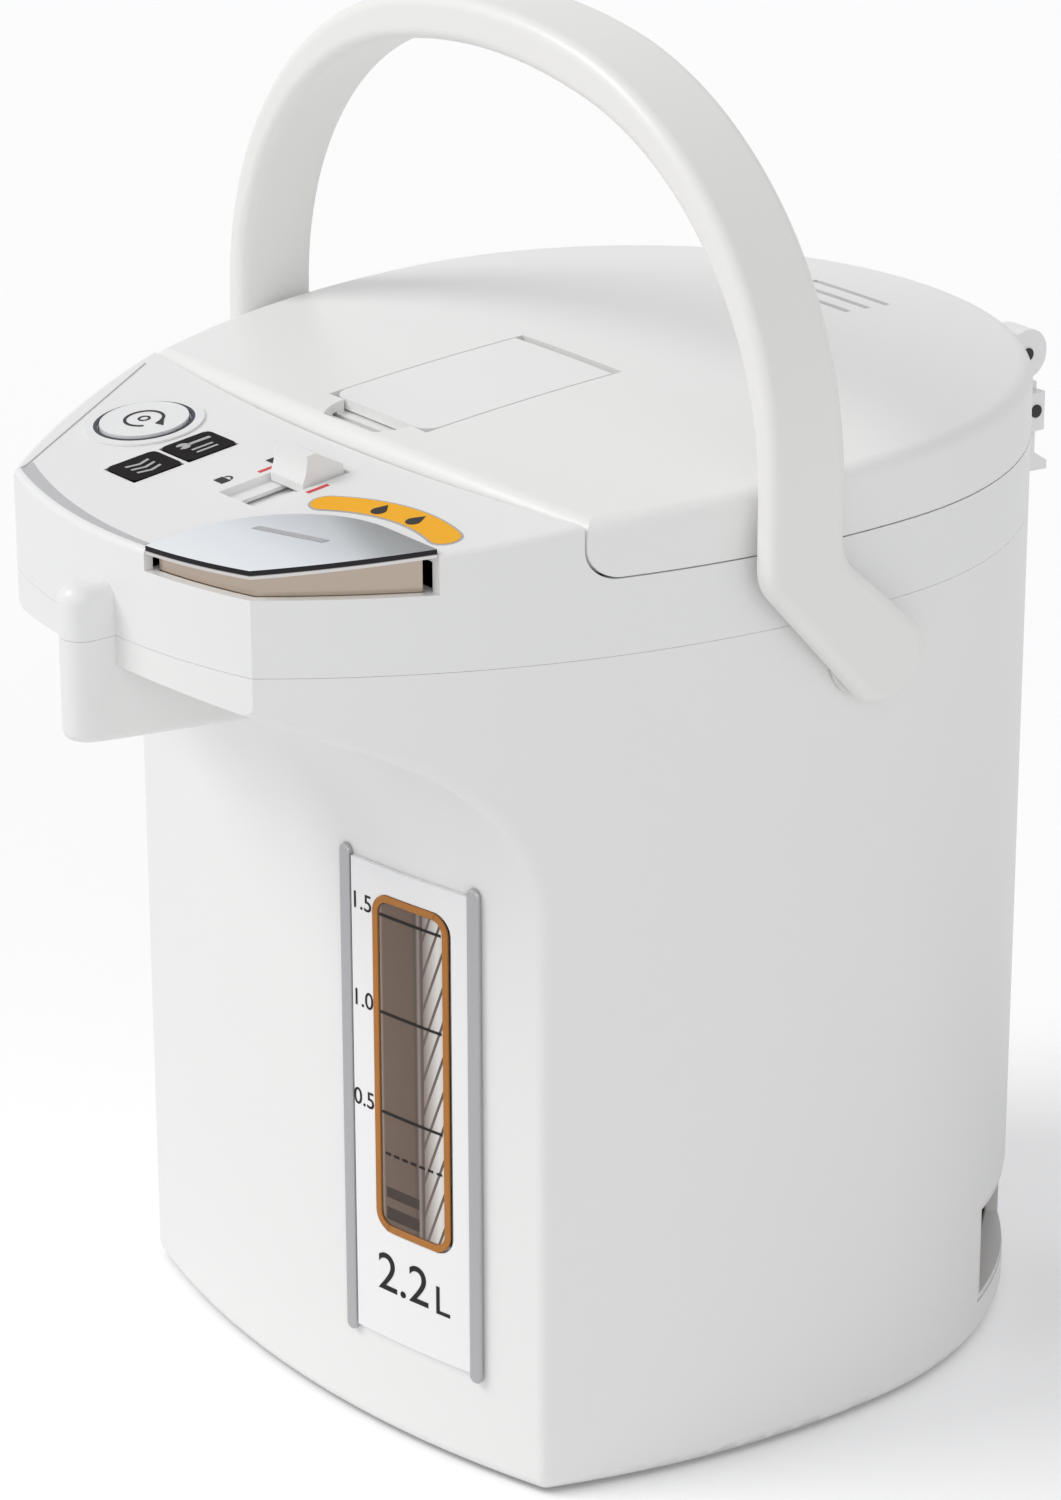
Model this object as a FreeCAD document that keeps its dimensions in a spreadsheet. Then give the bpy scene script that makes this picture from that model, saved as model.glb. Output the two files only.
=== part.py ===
import FreeCAD, Part
import math
import os
import Sketcher

doc = FreeCAD.newDocument("thermo_pot")
sheet = doc.addObject("Spreadsheet::Sheet", "dims")

# Driving dimensions in millimetres and degrees.
# Pieces are drawn about the axis of the round back, +Z up, front towards -Y,
# and every finished piece is moved back by axis_y to the frame of the whole pot.
DIMENSIONS = {
    "axis_y": 27.0,
    "back_radius": 105.0,
    "side_radius": 240.0,
    "side_turn": 2.93,
    "front_radius": 289.2,
    "front_axis_y": 177.2,
    "beak_corner_y": -158.6,
    "beak_front_radius": 155.0,
    "wall": 2.5,
    "foot_height": 3.0,
    "foot_radius": 8.0,
    "foot_across": 96.0,
    "foot_front_y": -86.0,
    "foot_back_y": 68.0,
    "casing_bottom": 1.2,
    "casing_top": 228.9,
    "shoulder_bottom": 229.0,
    "lid_seam": 248.7,
    "under_beak_slope": 28.0,
    "under_beak_radius": 53.0,
    "under_beak_start": 160.0,
    "deck_front_z": 255.2,
    "deck_slope": 6.45,
    "deck_skin": 3.0,
    "lid_front_radius": 569.0,
    "lid_corner_y": -88.0,
    "lid_gap": 0.5,
    "lid_top_z": 271.5,
    "lid_dome_radius": 1100.0,
    "lid_dome_y": 10.0,
    "lid_bottom_z": 249.1,
    "vessel_radius": 76.3,
    "vessel_wall": 0.8,
    "vessel_floor": 66.0,
    "vessel_top": 244.0,
    "vessel_flange": 84.0,
    "mouth_radius": 78.0,
    "lid_well_radius": 92.0,
    "ledge_z": 243.2,
    "outlet_y": -62.0,
    "pump_radius": 20.0,
    "gauge_x": 47.5,
    "gauge_y": -97.5,
    "gauge_low": 62.0,
    "gauge_high": 155.0,
    "gauge_tube_radius": 4.5,
    "spout_y": -173.0,
    "spout_half": 5.8,
    "spout_bottom": 202.6,
    "spout_slope": 6.2,
    "spout_top": 242.6,
    "pipe_radius": 4.5,
    "pipe_bore": 3.0,
    "pipe_z": 233.8,
    "key_left": 18.3,
    "key_back_y": -121.5,
    "key_corner_radius": 38.0,
    "key_skirt_low": 247.2,
    "key_well_z": 243.8,
    "key_plate": 2.2,
    "button_x": -50.0,
    "button_y": -119.5,
    "button_radius": 11.5,
    "slot_left": 3.0,
    "slot_width": 15.6,
    "slot_front_y": -133.6,
    "slot_back_y": -105.0,
    "slot_depth": 2.0,
    "lever_half": 20.0,
    "lever_front_y": -82.0,
    "lever_back_y": -22.0,
    "lever_floor": 264.3,
    "lever_pin_y": -24.8,
    "lever_pin_z": 266.8,
    "vent_y": 70.0,
    "hinge_y": 115.6,
    "hinge_z": 251.5,
    "knuckle_radius": 7.0,
    "pin_radius": 1.8,
    "release_y": 117.8,
    "release_z": 235.4,
    "lip_back_y": 126.0,
    "pivot_y": -10.0,
    "pivot_z": 218.0,
    "pivot_radius": 5.0,
    "lobe_radius": 12.5,
    "handle_y": -37.0,
    "handle_width": 24.0,
    "handle_outer": 114.0,
    "handle_inner": 106.0,
    "handle_spring_z": 266.0,
    "handle_top": 367.2,
    "handle_grip": 12.0,
    "handle_crown_radius": 170.0,
    "socket_turn": 41.0,
    "socket_half": 27.0,
    "socket_low": 11.6,
    "socket_high": 41.0,
    "running": 0.05,
    "loose": 0.35,
}

for row, (name, value) in enumerate(DIMENSIONS.items(), 1):
    sheet.set(f"A{row}", name)
    sheet.set(f"B{row}", repr(value))
    sheet.setAlias(f"B{row}", name)
doc.recompute()


class Size:
    """A length with its value and the sheet formula that gives it."""

    def __init__(self, value, formula):
        self.value = value
        self.formula = formula

    def __add__(self, other):
        other = size(other)
        return Size(self.value + other.value, f"({self.formula} + {other.formula})")

    def __radd__(self, other):
        return size(other) + self

    def __sub__(self, other):
        other = size(other)
        return Size(self.value - other.value, f"({self.formula} - {other.formula})")

    def __rsub__(self, other):
        return size(other) - self

    def __mul__(self, other):
        other = size(other)
        return Size(self.value * other.value, f"({self.formula} * {other.formula})")

    def __rmul__(self, other):
        return size(other) * self

    def __truediv__(self, other):
        other = size(other)
        return Size(self.value / other.value, f"({self.formula} / {other.formula})")

    def __neg__(self):
        return Size(-self.value, f"(0 - {self.formula})")

    def __float__(self):
        return self.value


def size(value):
    """Turn a plain number into a Size; a Size stays as it is."""
    return value if isinstance(value, Size) else Size(float(value), f"({float(value)!r})")


def root(value):
    return Size(math.sqrt(value.value), f"sqrt({value.formula})")


def cosine(turn):
    return Size(math.cos(math.radians(turn.value)), f"cos({turn.formula} * 1 deg)")


def sine(turn):
    return Size(math.sin(math.radians(turn.value)), f"sin({turn.formula} * 1 deg)")


class Dims:
    """The cells of the sheet, each read by its alias."""

    def __getattr__(self, name):
        return Size(float(sheet.get(name)), f"dims.{name}")


d = Dims()
nodes = []


def vector(x, y, z):
    return FreeCAD.Vector(float(x), float(y), float(z))


def bind(thing, name, value):
    """Give a property its size, and tie it to the sheet where the size comes from there."""
    setattr(thing, name, float(value))
    if isinstance(value, Size):
        thing.setExpression(name, value.formula)


def place(thing, x=0, y=0, z=0, axis=(0, 0, 1), turn=0):
    """Put an object at x, y, z, turned about an axis."""
    thing.Placement = FreeCAD.Placement(vector(x, y, z), FreeCAD.Rotation(vector(*axis), float(turn)))
    for name, value in (("x", x), ("y", y), ("z", z)):
        if isinstance(value, Size):
            thing.setExpression("Placement.Base." + name, value.formula)
    if isinstance(turn, Size):
        thing.setExpression("Placement.Rotation.Angle", turn.formula)
    return thing


def node(thing, label, x=0, y=0, z=0, turn=None):
    """Declare a finished piece, and move it from its own axis to the shared frame."""
    thing.Label = label
    thing.Placement = FreeCAD.Placement(vector(x, y + d.axis_y, z), turn or FreeCAD.Rotation())
    thing.setExpression("Placement.Base.y", (y + d.axis_y).formula)
    nodes.append(thing)
    return thing


def box(x, y, z, dx, dy, dz, axis=(0, 0, 1), turn=0):
    thing = doc.addObject("Part::Box", "box")
    for name, value in (("Length", dx), ("Width", dy), ("Height", dz)):
        bind(thing, name, value)
    return place(thing, x, y, z, axis, turn)


def cylinder(radius, height, x=0, y=0, z=0, axis=(0, 0, 1), turn=0):
    thing = doc.addObject("Part::Cylinder", "cylinder")
    bind(thing, "Radius", radius)
    bind(thing, "Height", height)
    return place(thing, x, y, z, axis, turn)


def cross_pin(radius, length, x, y, z):
    """A cylinder along X that starts at x."""
    return cylinder(radius, length, x, y, z, (0, 1, 0), 90)


def fuse(*things):
    if len(things) == 1:
        return things[0]
    thing = doc.addObject("Part::MultiFuse", "fuse")
    thing.Shapes = list(things)
    thing.Refine = True
    return thing


def cut(base, *tools):
    thing = doc.addObject("Part::Cut", "cut")
    thing.Base = base
    thing.Tool = fuse(*tools)
    thing.Refine = True
    return thing


def common(first, second):
    thing = doc.addObject("Part::MultiCommon", "common")
    thing.Shapes = [first, second]
    thing.Refine = True
    return thing


def compound(*things):
    thing = doc.addObject("Part::Compound", "group")
    thing.Links = list(things)
    return thing


def rounded(base, radius, test):
    """Round every edge of a solid whose middle point passes the test."""
    doc.recompute()
    thing = doc.addObject("Part::Fillet", "rounded")
    thing.Base = base
    picked = []
    for number, edge in enumerate(base.Shape.Edges, 1):
        middle = edge.valueAt((edge.FirstParameter + edge.LastParameter) / 2)
        if test(middle, edge):
            picked.append((number, float(radius), float(radius)))
    thing.Edges = picked
    doc.recompute()
    return thing


def body(name):
    return doc.addObject("PartDesign::Body", name)


def sketch(owner, role, loops, along=0, offset=0):
    """Draw closed loops on an origin plane of a body.

    A loop is a circle (x, y, radius), or a list of corners (x, y) or (x, y, radius),
    where radius bends the side that leaves the corner outwards, seen anticlockwise.
    """
    drawing = owner.newObject("Sketcher::SketchObject", "outline")
    plane = [item for item in owner.Origin.OriginFeatures if item.Role == role][0]
    drawing.AttachmentSupport = (plane, [""])
    drawing.MapMode = "FlatFace"
    drawing.AttachmentOffset = FreeCAD.Placement(vector(along, 0, offset), FreeCAD.Rotation())
    if isinstance(along, Size):
        drawing.setExpression("AttachmentOffset.Base.x", along.formula)
    if isinstance(offset, Size):
        drawing.setExpression("AttachmentOffset.Base.z", offset.formula)

    def tie(kind, value, *where):
        number = drawing.addConstraint(Sketcher.Constraint(kind, *where, float(value)))
        if isinstance(value, Size):
            drawing.setExpression(f"Constraints[{number}]", value.formula)

    for loop in loops:
        if isinstance(loop, tuple):
            round_line = Part.Circle(vector(loop[0], loop[1], 0), vector(0, 0, 1), float(loop[2]))
            circle = drawing.addGeometry(round_line)
            tie("DistanceX", loop[0], circle, 3)
            tie("DistanceY", loop[1], circle, 3)
            tie("Radius", loop[2], circle)
            continue
        sides = []
        for here, there in zip(loop, loop[1:] + loop[:1]):
            start, end = vector(here[0], here[1], 0), vector(there[0], there[1], 0)
            if len(here) == 2:
                sides.append((drawing.addGeometry(Part.LineSegment(start, end)), 1, 2))
                continue
            radius = float(here[2])
            chord = end - start
            rise = abs(radius) - math.sqrt(radius ** 2 - (chord.Length / 2) ** 2)
            outward = vector(chord.y, -chord.x, 0) * (math.copysign(rise, radius) / chord.Length)
            bend = Part.Arc(start, (start + end) * 0.5 + outward, end)
            number = drawing.addGeometry(bend)
            turned = drawing.getPoint(number, 1).distanceToPoint(start) > 1e-6
            sides.append((number, 2, 1) if turned else (number, 1, 2))
            tie("Radius", here[2] if radius > 0 else -here[2], number)
        for index, (number, first, last) in enumerate(sides):
            following = sides[(index + 1) % len(sides)]
            joined = Sketcher.Constraint("Coincident", number, last, following[0], following[1])
            drawing.addConstraint(joined)
            tie("DistanceX", loop[index][0], number, first)
            tie("DistanceY", loop[index][1], number, first)
    return drawing


def pad(owner, drawing, length, kind="Pad"):
    feature = owner.newObject("PartDesign::" + kind, kind.lower())
    feature.Profile = drawing
    bind(feature, "Length", length)
    return feature


def spin(owner, drawing, turn=360, kind="Revolution"):
    """Turn a drawing about its own upright axis."""
    feature = owner.newObject("PartDesign::" + kind, kind.lower())
    feature.Profile = drawing
    feature.ReferenceAxis = (drawing, ["V_Axis"])
    feature.Angle = turn
    feature.Midplane = turn != 360
    return feature


def prism(outline, low, height):
    """A solid of one outline seen from above."""
    owner = body("prism")
    pad(owner, sketch(owner, "XY_Plane", [outline], 0, low), height)
    return owner


def side_plate(outline, x, thickness):
    """A solid of one outline of (y, z) corners, that starts at x and grows towards +X."""
    owner = body("side_plate")
    pad(owner, sketch(owner, "YZ_Plane", [outline], 0, x), thickness)
    return owner


def turned(outline, x=0, y=0):
    """A solid of revolution about an upright axis at x, y, from (radius, z) corners."""
    owner = body("turned")
    spin(owner, sketch(owner, "XZ_Plane", [outline]))
    return place(owner, x, y) if isinstance(x, Size) or isinstance(y, Size) or x or y else owner


def sector(inner, outer, low, height, x_left, x_right):
    """A curved strip on the front face, between two places seen from the front."""
    start = math.degrees(math.asin(x_left / d.front_radius.value))
    end = math.degrees(math.asin(x_right / d.front_radius.value))
    whole = []
    for radius in (outer, inner):
        thing = cylinder(radius, height, 0, d.front_axis_y, low, (0, 0, 1), start - 90)
        thing.Angle = end - start
        whole.append(thing)
    return cut(*whole)


# Outline of the pot seen from above: a round back, long side arcs and a bowed beak.

side_off = (d.side_radius - d.back_radius) * cosine(d.side_turn)
side_drop = (d.side_radius - d.back_radius) * sine(d.side_turn)


def side_x(y, inset=0):
    """Half width of the pot at y, on its side arc."""
    reach = d.side_radius - inset
    return root(reach * reach - (y + side_drop) * (y + side_drop)) - side_off


def pot_outline(inset, corner_y, front_bend):
    """Corners and arcs of the pot's outline, anticlockwise from the right front corner."""
    corner_x = side_x(corner_y, inset)
    back = d.back_radius - inset
    tangent_x = back * cosine(d.side_turn)
    tangent_y = back * sine(d.side_turn)
    side = d.side_radius - inset
    return [
        (corner_x, corner_y, side),
        (tangent_x, tangent_y, back),
        (0, back, back),
        (-tangent_x, tangent_y, side),
        (-corner_x, corner_y, front_bend),
    ]


def beak_outline(inset=0):
    return pot_outline(inset, d.beak_corner_y + 0.87 * size(inset), d.beak_front_radius - inset)


def lid_outline(inset=0, front=0):
    return pot_outline(inset, d.lid_corner_y + inset + front, d.lid_front_radius)


def pot_solid(inset, low, high):
    """The pot's body between two heights, with the front cut back under the beak."""
    owner = body("pot_solid")
    pad(owner, sketch(owner, "XY_Plane", [beak_outline(inset)], 0, low), high - low)
    bend = d.under_beak_radius + inset
    middle = d.front_radius + d.under_beak_radius
    start = d.under_beak_start
    wall_r = d.front_radius - inset
    slope_r = middle - bend * sine(d.under_beak_slope)
    slope_z = start + bend * cosine(d.under_beak_slope)
    far = 40
    far_z = slope_z + far * sine(d.under_beak_slope) / cosine(d.under_beak_slope)
    below = -1
    profile = [
        (-wall_r, below),
        (-wall_r, start, bend),
        (-slope_r, slope_z),
        (-(slope_r + far), far_z),
        (-(slope_r + far), below),
    ]
    spin(owner, sketch(owner, "YZ_Plane", [profile], d.front_axis_y), 60, "Groove")
    return owner


def above_deck(lift=0):
    """A block whose underside is the sloping deck, raised by lift."""
    reach = 200
    ahead = 45
    run = ahead * cosine(d.deck_slope)
    rise = ahead * sine(d.deck_slope)
    return box(-reach / 2 - 20, d.beak_corner_y - run, d.deck_front_z - rise + lift,
               reach + 40, reach, 60, (1, 0, 0), d.deck_slope)


def lid_space(gap, low):
    """The room that the lid fills, with its front lower edge rounded."""
    solid = prism(lid_outline(-size(gap)), low, 40)
    return rounded(solid, 8, lambda at, edge: (
        abs(at.z - float(low)) < 0.01 and at.y < -80 and abs(at.x) < 60))


# Outer casing: one moulded shell with the lower half of the beak.

casing_outer = pot_solid(0, d.casing_bottom, d.casing_top)
casing_soft = rounded(casing_outer, 4, lambda at, edge: (
    abs(at.z - 80) < 15 and at.y < -90) or (abs(at.z - float(d.casing_bottom)) < 0.01))
casing_inner = pot_solid(d.wall, -2, d.casing_top + 2)
pivot_length = 24
pivot_holes = [cross_pin(d.pivot_radius + 0.3, pivot_length, side * (d.back_radius - 10) - (
    pivot_length if side < 0 else 0), d.pivot_y, d.pivot_z) for side in (1, -1)]
window_cut = sector(d.front_radius - 6, d.front_radius + 2, d.gauge_low + 1,
                    d.gauge_high - d.gauge_low - 2, 36, 59)
socket_height = d.socket_high - d.socket_low


def socket_block(inset, depth, start):
    """A block in the direction of the power socket, from a distance start out to past the skin."""
    radius_x = start * cosine(d.socket_turn) + (d.socket_half - inset) * sine(d.socket_turn)
    radius_y = start * sine(d.socket_turn) - (d.socket_half - inset) * cosine(d.socket_turn)
    return box(radius_x, radius_y, d.socket_low + inset, depth, 2 * (d.socket_half - inset),
               socket_height - 2 * size(inset), (0, 0, 1), d.socket_turn)


boss_places = [(66, -78), (-66, -78), (40, 87), (-40, 87)]
boss_reach = 28
bosses = []
boss_bores = []
for x, y in boss_places:
    angle = math.degrees(math.atan2(y, x))
    bosses.append(cylinder(4.5, 22, x, y, 6))
    bosses.append(box(x, y, 6, boss_reach, 3, 20, (0, 0, 1), angle))
    boss_bores.append(cylinder(1.5, 18, x, y, 5))
casing_ribs = common(fuse(*bosses), pot_solid(1, 4, 40))
casing_shell = cut(casing_soft, casing_inner)
pipe_slot = box(-d.pipe_radius - 0.3, d.spout_y, 224, 2 * (d.pipe_radius + 0.3), 30, 14.8)
main_casing = cut(fuse(casing_shell, casing_ribs), window_cut, pipe_slot, socket_block(0, 40, 85),
                  *pivot_holes, *boss_bores)
node(main_casing, "main_casing")

# Bottom cover with its four feet and screws.

cover_plate = pot_solid(d.wall + 0.4, d.foot_height, d.foot_height + 2.4)
screw_holes = [cylinder(1.9, 6, x, y, 2) for x, y in boss_places]
vent_slots = [box(x - 1.5, -20, 2, 3, 40, 6) for x in (-36, -24, -12, 12, 24, 36)]
node(cut(cover_plate, *screw_holes, *vent_slots), "bottom_cover")
feet = []
for x in (-1, 1):
    for y in (d.foot_front_y, d.foot_back_y):
        foot = turned([(0, 0), (d.foot_radius - 1.2, 0), (d.foot_radius, 1.2),
                       (d.foot_radius - 0.6, d.foot_height), (0, d.foot_height)],
                      x * d.foot_across / 2, y)
        feet.append(foot)
node(compound(*feet), "rubber_feet")
screws = [fuse(cylinder(3, 1.4, x, y, 1.6), cylinder(1.45, 14, x, y, 2.9)) for x, y in boss_places]
node(compound(*screws), "base_screws")

# Power socket in a recess of the casing at the right rear.

socket_front = 87
housing = cut(common(socket_block(0.3, 24, socket_front), pot_solid(0.3, 2, 60)),
              socket_block(2.0, 30, socket_front + 3))
node(housing, "socket_recess")
node(fuse(socket_block(6.0, 6, socket_front + 3)), "socket_insulator")
contact_z = (d.socket_low + d.socket_high) / 2
contact_start = socket_front + 9
contacts = []
out_x, out_y = cosine(d.socket_turn), sine(d.socket_turn)
facing = FreeCAD.Rotation(vector(0, 0, 1), float(d.socket_turn))
for across in (-8, 8):
    contact = cylinder(2.2, 2.5, contact_start * out_x - across * out_y,
                       contact_start * out_y + across * out_x, contact_z)
    contact.Placement.Rotation = facing.multiply(FreeCAD.Rotation(vector(0, 1, 0), 90))
    contacts.append(contact)
node(compound(*contacts), "socket_contacts")

# Water gauge on the front face.

skin = 0.2
gauge_height = d.gauge_high - d.gauge_low
face = d.front_radius + skin
front_skin = pot_solid(0, 20, 200)
label = sector(face, face + 1.2, 30, 133, 26.2, 66)


def round_sector(corner, inner, outer, *sizes):
    """A curved strip with four round corners."""
    thickness = float(outer - inner)
    return rounded(sector(inner, outer, *sizes), corner, lambda at, edge: edge.Length < thickness + 0.1)


label_hole = round_sector(5.8, face - 1, face + 3, d.gauge_low - 1, gauge_height + 2, 34, 60.5)
node(cut(label, front_skin, label_hole), "gauge_plate")
trims = [sector(face, face + 2.0, 27, 139, left, right) for left, right in ((22, 26), (66.2, 69.8))]
trims = [rounded(trim, 0.7, lambda at, edge: edge.Length > 100 and math.hypot(
    at.x, at.y - float(d.front_axis_y)) > float(face) + 1) for trim in trims]
node(compound(*[cut(trim, front_skin) for trim in trims]), "gauge_trims")
bezel = round_sector(5.5, face, face + 1.7, d.gauge_low - 0.8, gauge_height + 1.6, 34.2, 60.3)
bezel_hole = round_sector(3.6, face - 1, face + 3, d.gauge_low + 0.8, gauge_height - 1.6, 35.8, 58.8)
node(cut(bezel, bezel_hole), "window_ring")
window = round_sector(3.4, d.front_radius - 4, face + 1.0, d.gauge_low + 1.2, gauge_height - 2.4,
                      36.2, 58.6)
node(window, "gauge_window")

# Steel inner vessel with the heater and thermostat under it.

vessel_r = d.vessel_radius
inner_r = vessel_r - d.vessel_wall
floor = d.vessel_floor
inner_floor = floor + d.vessel_wall
pot = turned([
    (0, floor), (vessel_r - 8, floor), (vessel_r, floor + 8),
    (vessel_r, d.vessel_top - d.vessel_wall), (d.vessel_flange, d.vessel_top - d.vessel_wall),
    (d.vessel_flange, d.vessel_top), (inner_r, d.vessel_top),
    (inner_r, inner_floor + 7.7), (inner_r - 7.7, inner_floor), (0, inner_floor),
])
spigot = cylinder(5.5, 8, 0, d.outlet_y, floor - 8)
node(cut(fuse(pot, spigot), cylinder(4.4, 14, 0, d.outlet_y, floor - 10)), "inner_vessel")
node(turned([(9, floor - 5), (50, floor - 5), (50, floor), (9, floor)]), "heater_plate")
node(turned([(0, floor - 12), (7, floor - 12), (7, floor - 9), (8.6, floor - 9), (8.6, floor),
             (0, floor)]), "thermostat")
node(turned([(80, 90), (81.2, 90), (81.2, 238), (80, 238)]), "insulation_sleeve")

# Magnet-driven pump under the vessel, and its motor.

pump_r = d.pump_radius
pump = turned([
    (18.1, 12), (pump_r, 12), (pump_r, 48), (5.5, 48), (5.5, 55), (4, 55), (4, 45), (16, 45),
    (16, 33), (1.5, 33), (1.5, 44), (0, 44), (0, 30.5), (18.1, 30.5)])
pump_exit_z = 39
spout_pipe = cylinder(4.5, 14, 17, 0, pump_exit_z, (0, 1, 0), 90)
spout_hole = cylinder(3.2, 20, 13, 0, pump_exit_z, (0, 1, 0), 90)


def about_pump(thing, label):
    """Declare a piece that is drawn about the pump's own axis."""
    node(thing, label, 0, d.outlet_y)


about_pump(cut(fuse(pump, spout_pipe), spout_hole), "pump_housing")
vane_angles = [math.radians(60 * step) for step in range(6)]
vanes = [box(3 * math.cos(angle), 3 * math.sin(angle), 36.4, 10, 1.2, 5, (0, 0, 1), math.degrees(angle))
         for angle in vane_angles]
shaft_bore = 1.5 + d.running
wheel = turned([(shaft_bore, 34.6), (14, 34.6), (14, 36.4), (4, 36.4), (4, 42), (shaft_bore, 42)])
about_pump(fuse(wheel, *vanes), "pump_impeller")
about_pump(turned([(shaft_bore, 7), (17.5, 7), (17.5, 25.4), (5, 25.4), (5, 26.4), (shaft_bore, 26.4)]),
           "pump_motor")
about_pump(turned([(0, 12), (1.5, 12), (1.5, 27.2), (15, 27.2), (15, 29.6), (0, 29.6)]), "drive_magnet")
about_pump(turned([(5.55, 48.1), (7.6, 48.1), (7.6, 63), (5.55, 63)]), "inlet_hose")


def pipe_path(corners, bend):
    """A wire of straight runs joined by arcs of one bend radius."""
    points = [vector(*corner) for corner in corners]
    edges = []
    last = points[0]
    for before, corner, after in zip(points, points[1:], points[2:]):
        into = (corner - before).normalize()
        away = (after - corner).normalize()
        half = into.getAngle(away) / 2
        reach = bend * math.tan(half)
        start = corner - into * reach
        end = corner + away * reach
        inward = (away - into).normalize()
        middle = corner + inward * (bend / math.cos(half) - bend)
        edges.append(Part.LineSegment(last, start).toShape())
        edges.append(Part.Arc(start, middle, end).toShape())
        last = end
    edges.append(Part.LineSegment(last, points[-1]).toShape())
    return Part.Wire(edges)


def pipe(label, corners, bend, outer, inner):
    """A bent round tube along a path."""
    path = pipe_path(corners, bend)
    direction = vector(*corners[1]) - vector(*corners[0])
    solids = []
    for radius in (outer, inner):
        circle = Part.Wire([Part.makeCircle(float(radius), vector(*corners[0]), direction)])
        solids.append(path.makePipeShell([circle], True, True))
    thing = doc.addObject("Part::Feature", "pipe")
    thing.Shape = solids[0].cut(solids[1])
    return node(thing, label)


pipe("delivery_hose", [(21, d.outlet_y, pump_exit_z), (d.gauge_x, d.outlet_y, pump_exit_z),
                       (d.gauge_x, d.gauge_y, pump_exit_z), (d.gauge_x, d.gauge_y, 57)], 11, 6.2, 4.6)
tube_top = 190
gauge_tube = cut(cylinder(d.gauge_tube_radius, tube_top - 48, d.gauge_x, d.gauge_y, 48),
                 cylinder(3.3, tube_top, d.gauge_x, d.gauge_y, 40))
node(gauge_tube, "gauge_tube")
sleeve = cut(cylinder(6.6, 16, d.gauge_x, d.gauge_y, tube_top - 8),
             cylinder(d.pipe_radius + d.running, 20, d.gauge_x, d.gauge_y, tube_top - 10))
node(sleeve, "gauge_sleeve")
spout_tip = d.spout_bottom
pipe("outlet_pipe", [(d.gauge_x, d.gauge_y, tube_top), (d.gauge_x, d.gauge_y, d.pipe_z),
                     (0, -146, d.pipe_z), (0, d.spout_y, d.pipe_z), (0, d.spout_y, spout_tip)],
     9, d.pipe_radius, d.pipe_bore)

# Spout: the nose under the beak and its cap above the seam.


def spout_block(low, high):
    """The spout's rounded nose with its straight flanks running back into the body."""
    half = d.spout_half
    outline = [(half, d.spout_y), (half, -100), (-half, -100), (-half, d.spout_y, half * 1.001),
               (0, d.spout_y - half, half * 1.001)]
    return prism(outline, low, high - low)


nose_depth = 15
nose_front = d.spout_y - d.spout_half
under_nose = box(-nose_depth, nose_front - 3 - nose_depth * sine(d.spout_slope),
                 d.spout_bottom - nose_depth * cosine(d.spout_slope), 2 * nose_depth, 100, nose_depth,
                 (1, 0, 0), -d.spout_slope)
nose = cut(spout_block(d.spout_bottom - nose_depth + 3, d.casing_top), under_nose)
nose = rounded(nose, 2.5, lambda at, edge: at.z < float(d.spout_bottom) + 0.5 and at.y < -110)
bore = cylinder(d.pipe_radius + 0.3, 50, 0, d.spout_y, d.spout_bottom - 5)
cap = rounded(spout_block(d.shoulder_bottom, d.spout_top), 4.5, lambda at, edge: (
    abs(at.z - float(d.spout_top)) < 0.01 and at.y < -110))
bridge = box(-5.2, -185, d.shoulder_bottom - 2, 10.4, 40, 12)
cap_room = cylinder(d.pipe_radius + 0.6, 12.8, 0, d.spout_y, 226)
node(cut(nose, pot_solid(0, -2, d.casing_top + 3), bore, pipe_slot), "spout_housing")
node(cut(cap, prism(beak_outline(), 200, 80), cap_room, pipe_slot), "spout_cap")

# Shoulder ring with the sloping deck over the beak, the ledge for the vessel and the key's well.


def deck_z(y):
    """Height of the deck's surface at y."""
    return d.deck_front_z + (y - d.beak_corner_y) * sine(d.deck_slope) / cosine(d.deck_slope)


def deck_box(x, y, low, dx, dy, high):
    """A block that lies along the sloping deck, from low to high over its surface."""
    return box(x, y - low * sine(d.deck_slope), deck_z(y) + low * cosine(d.deck_slope), dx, dy, high - low,
               (1, 0, 0), d.deck_slope)


def on_deck(thing, low, high):
    """The part of a solid between two heights over the deck."""
    return cut(common(thing, above_deck(low)), above_deck(high))


def key_shape(inset, edge_inset, low, lift):
    """The dispensing key's outline over the right front corner, with its top along the deck."""
    left = d.key_left + inset
    back = d.key_back_y - inset
    block = box(left, -200, low, 120, back + 200, 60)
    block = rounded(block, d.key_corner_radius - inset, lambda at, edge: (
        abs(at.x - float(left)) < 0.1 and abs(at.y - float(back)) < 0.1))
    solid = common(block, prism(beak_outline(edge_inset), low, 60))
    return cut(solid, above_deck(lift))


deck = cut(prism(beak_outline(), d.shoulder_bottom, 45), above_deck(), lid_space(d.lid_gap, d.lid_seam))
deck = rounded(deck, 1.6, lambda at, edge: (
    abs(at.z - float(deck_z(at.y))) < 0.25 and at.y < -97 and edge.Length > 20))
deck_room = cut(prism(beak_outline(d.wall), d.shoulder_bottom - 1, 45), above_deck(-d.deck_skin),
                box(-150, -84, d.ledge_z - 3, 300, 250, 60))
ring = cut(deck, deck_room, cylinder(d.mouth_radius, 40, 0, 0, d.shoulder_bottom - 5),
           cylinder(d.lid_well_radius, 20, 0, 0, d.ledge_z))
well_floor = 2.4
well_block = common(key_shape(-2, 0.5, d.key_well_z - well_floor, 0), box(0, -200, 230, 120, 120, 18.8))
lock_x = d.slot_left + d.slot_width / 2
slot_length = d.slot_back_y - d.slot_front_y
lock_recess = common(box(d.slot_left, d.slot_front_y, 245, d.slot_width, slot_length, 30),
                     above_deck(-d.slot_depth))
lock_window = box(lock_x - 2.6, d.slot_front_y + 3, 240, 5.2, slot_length - 6, 40)
lens_x = -25.5
lens_half = 6.8
lens_long = 15.4
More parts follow.
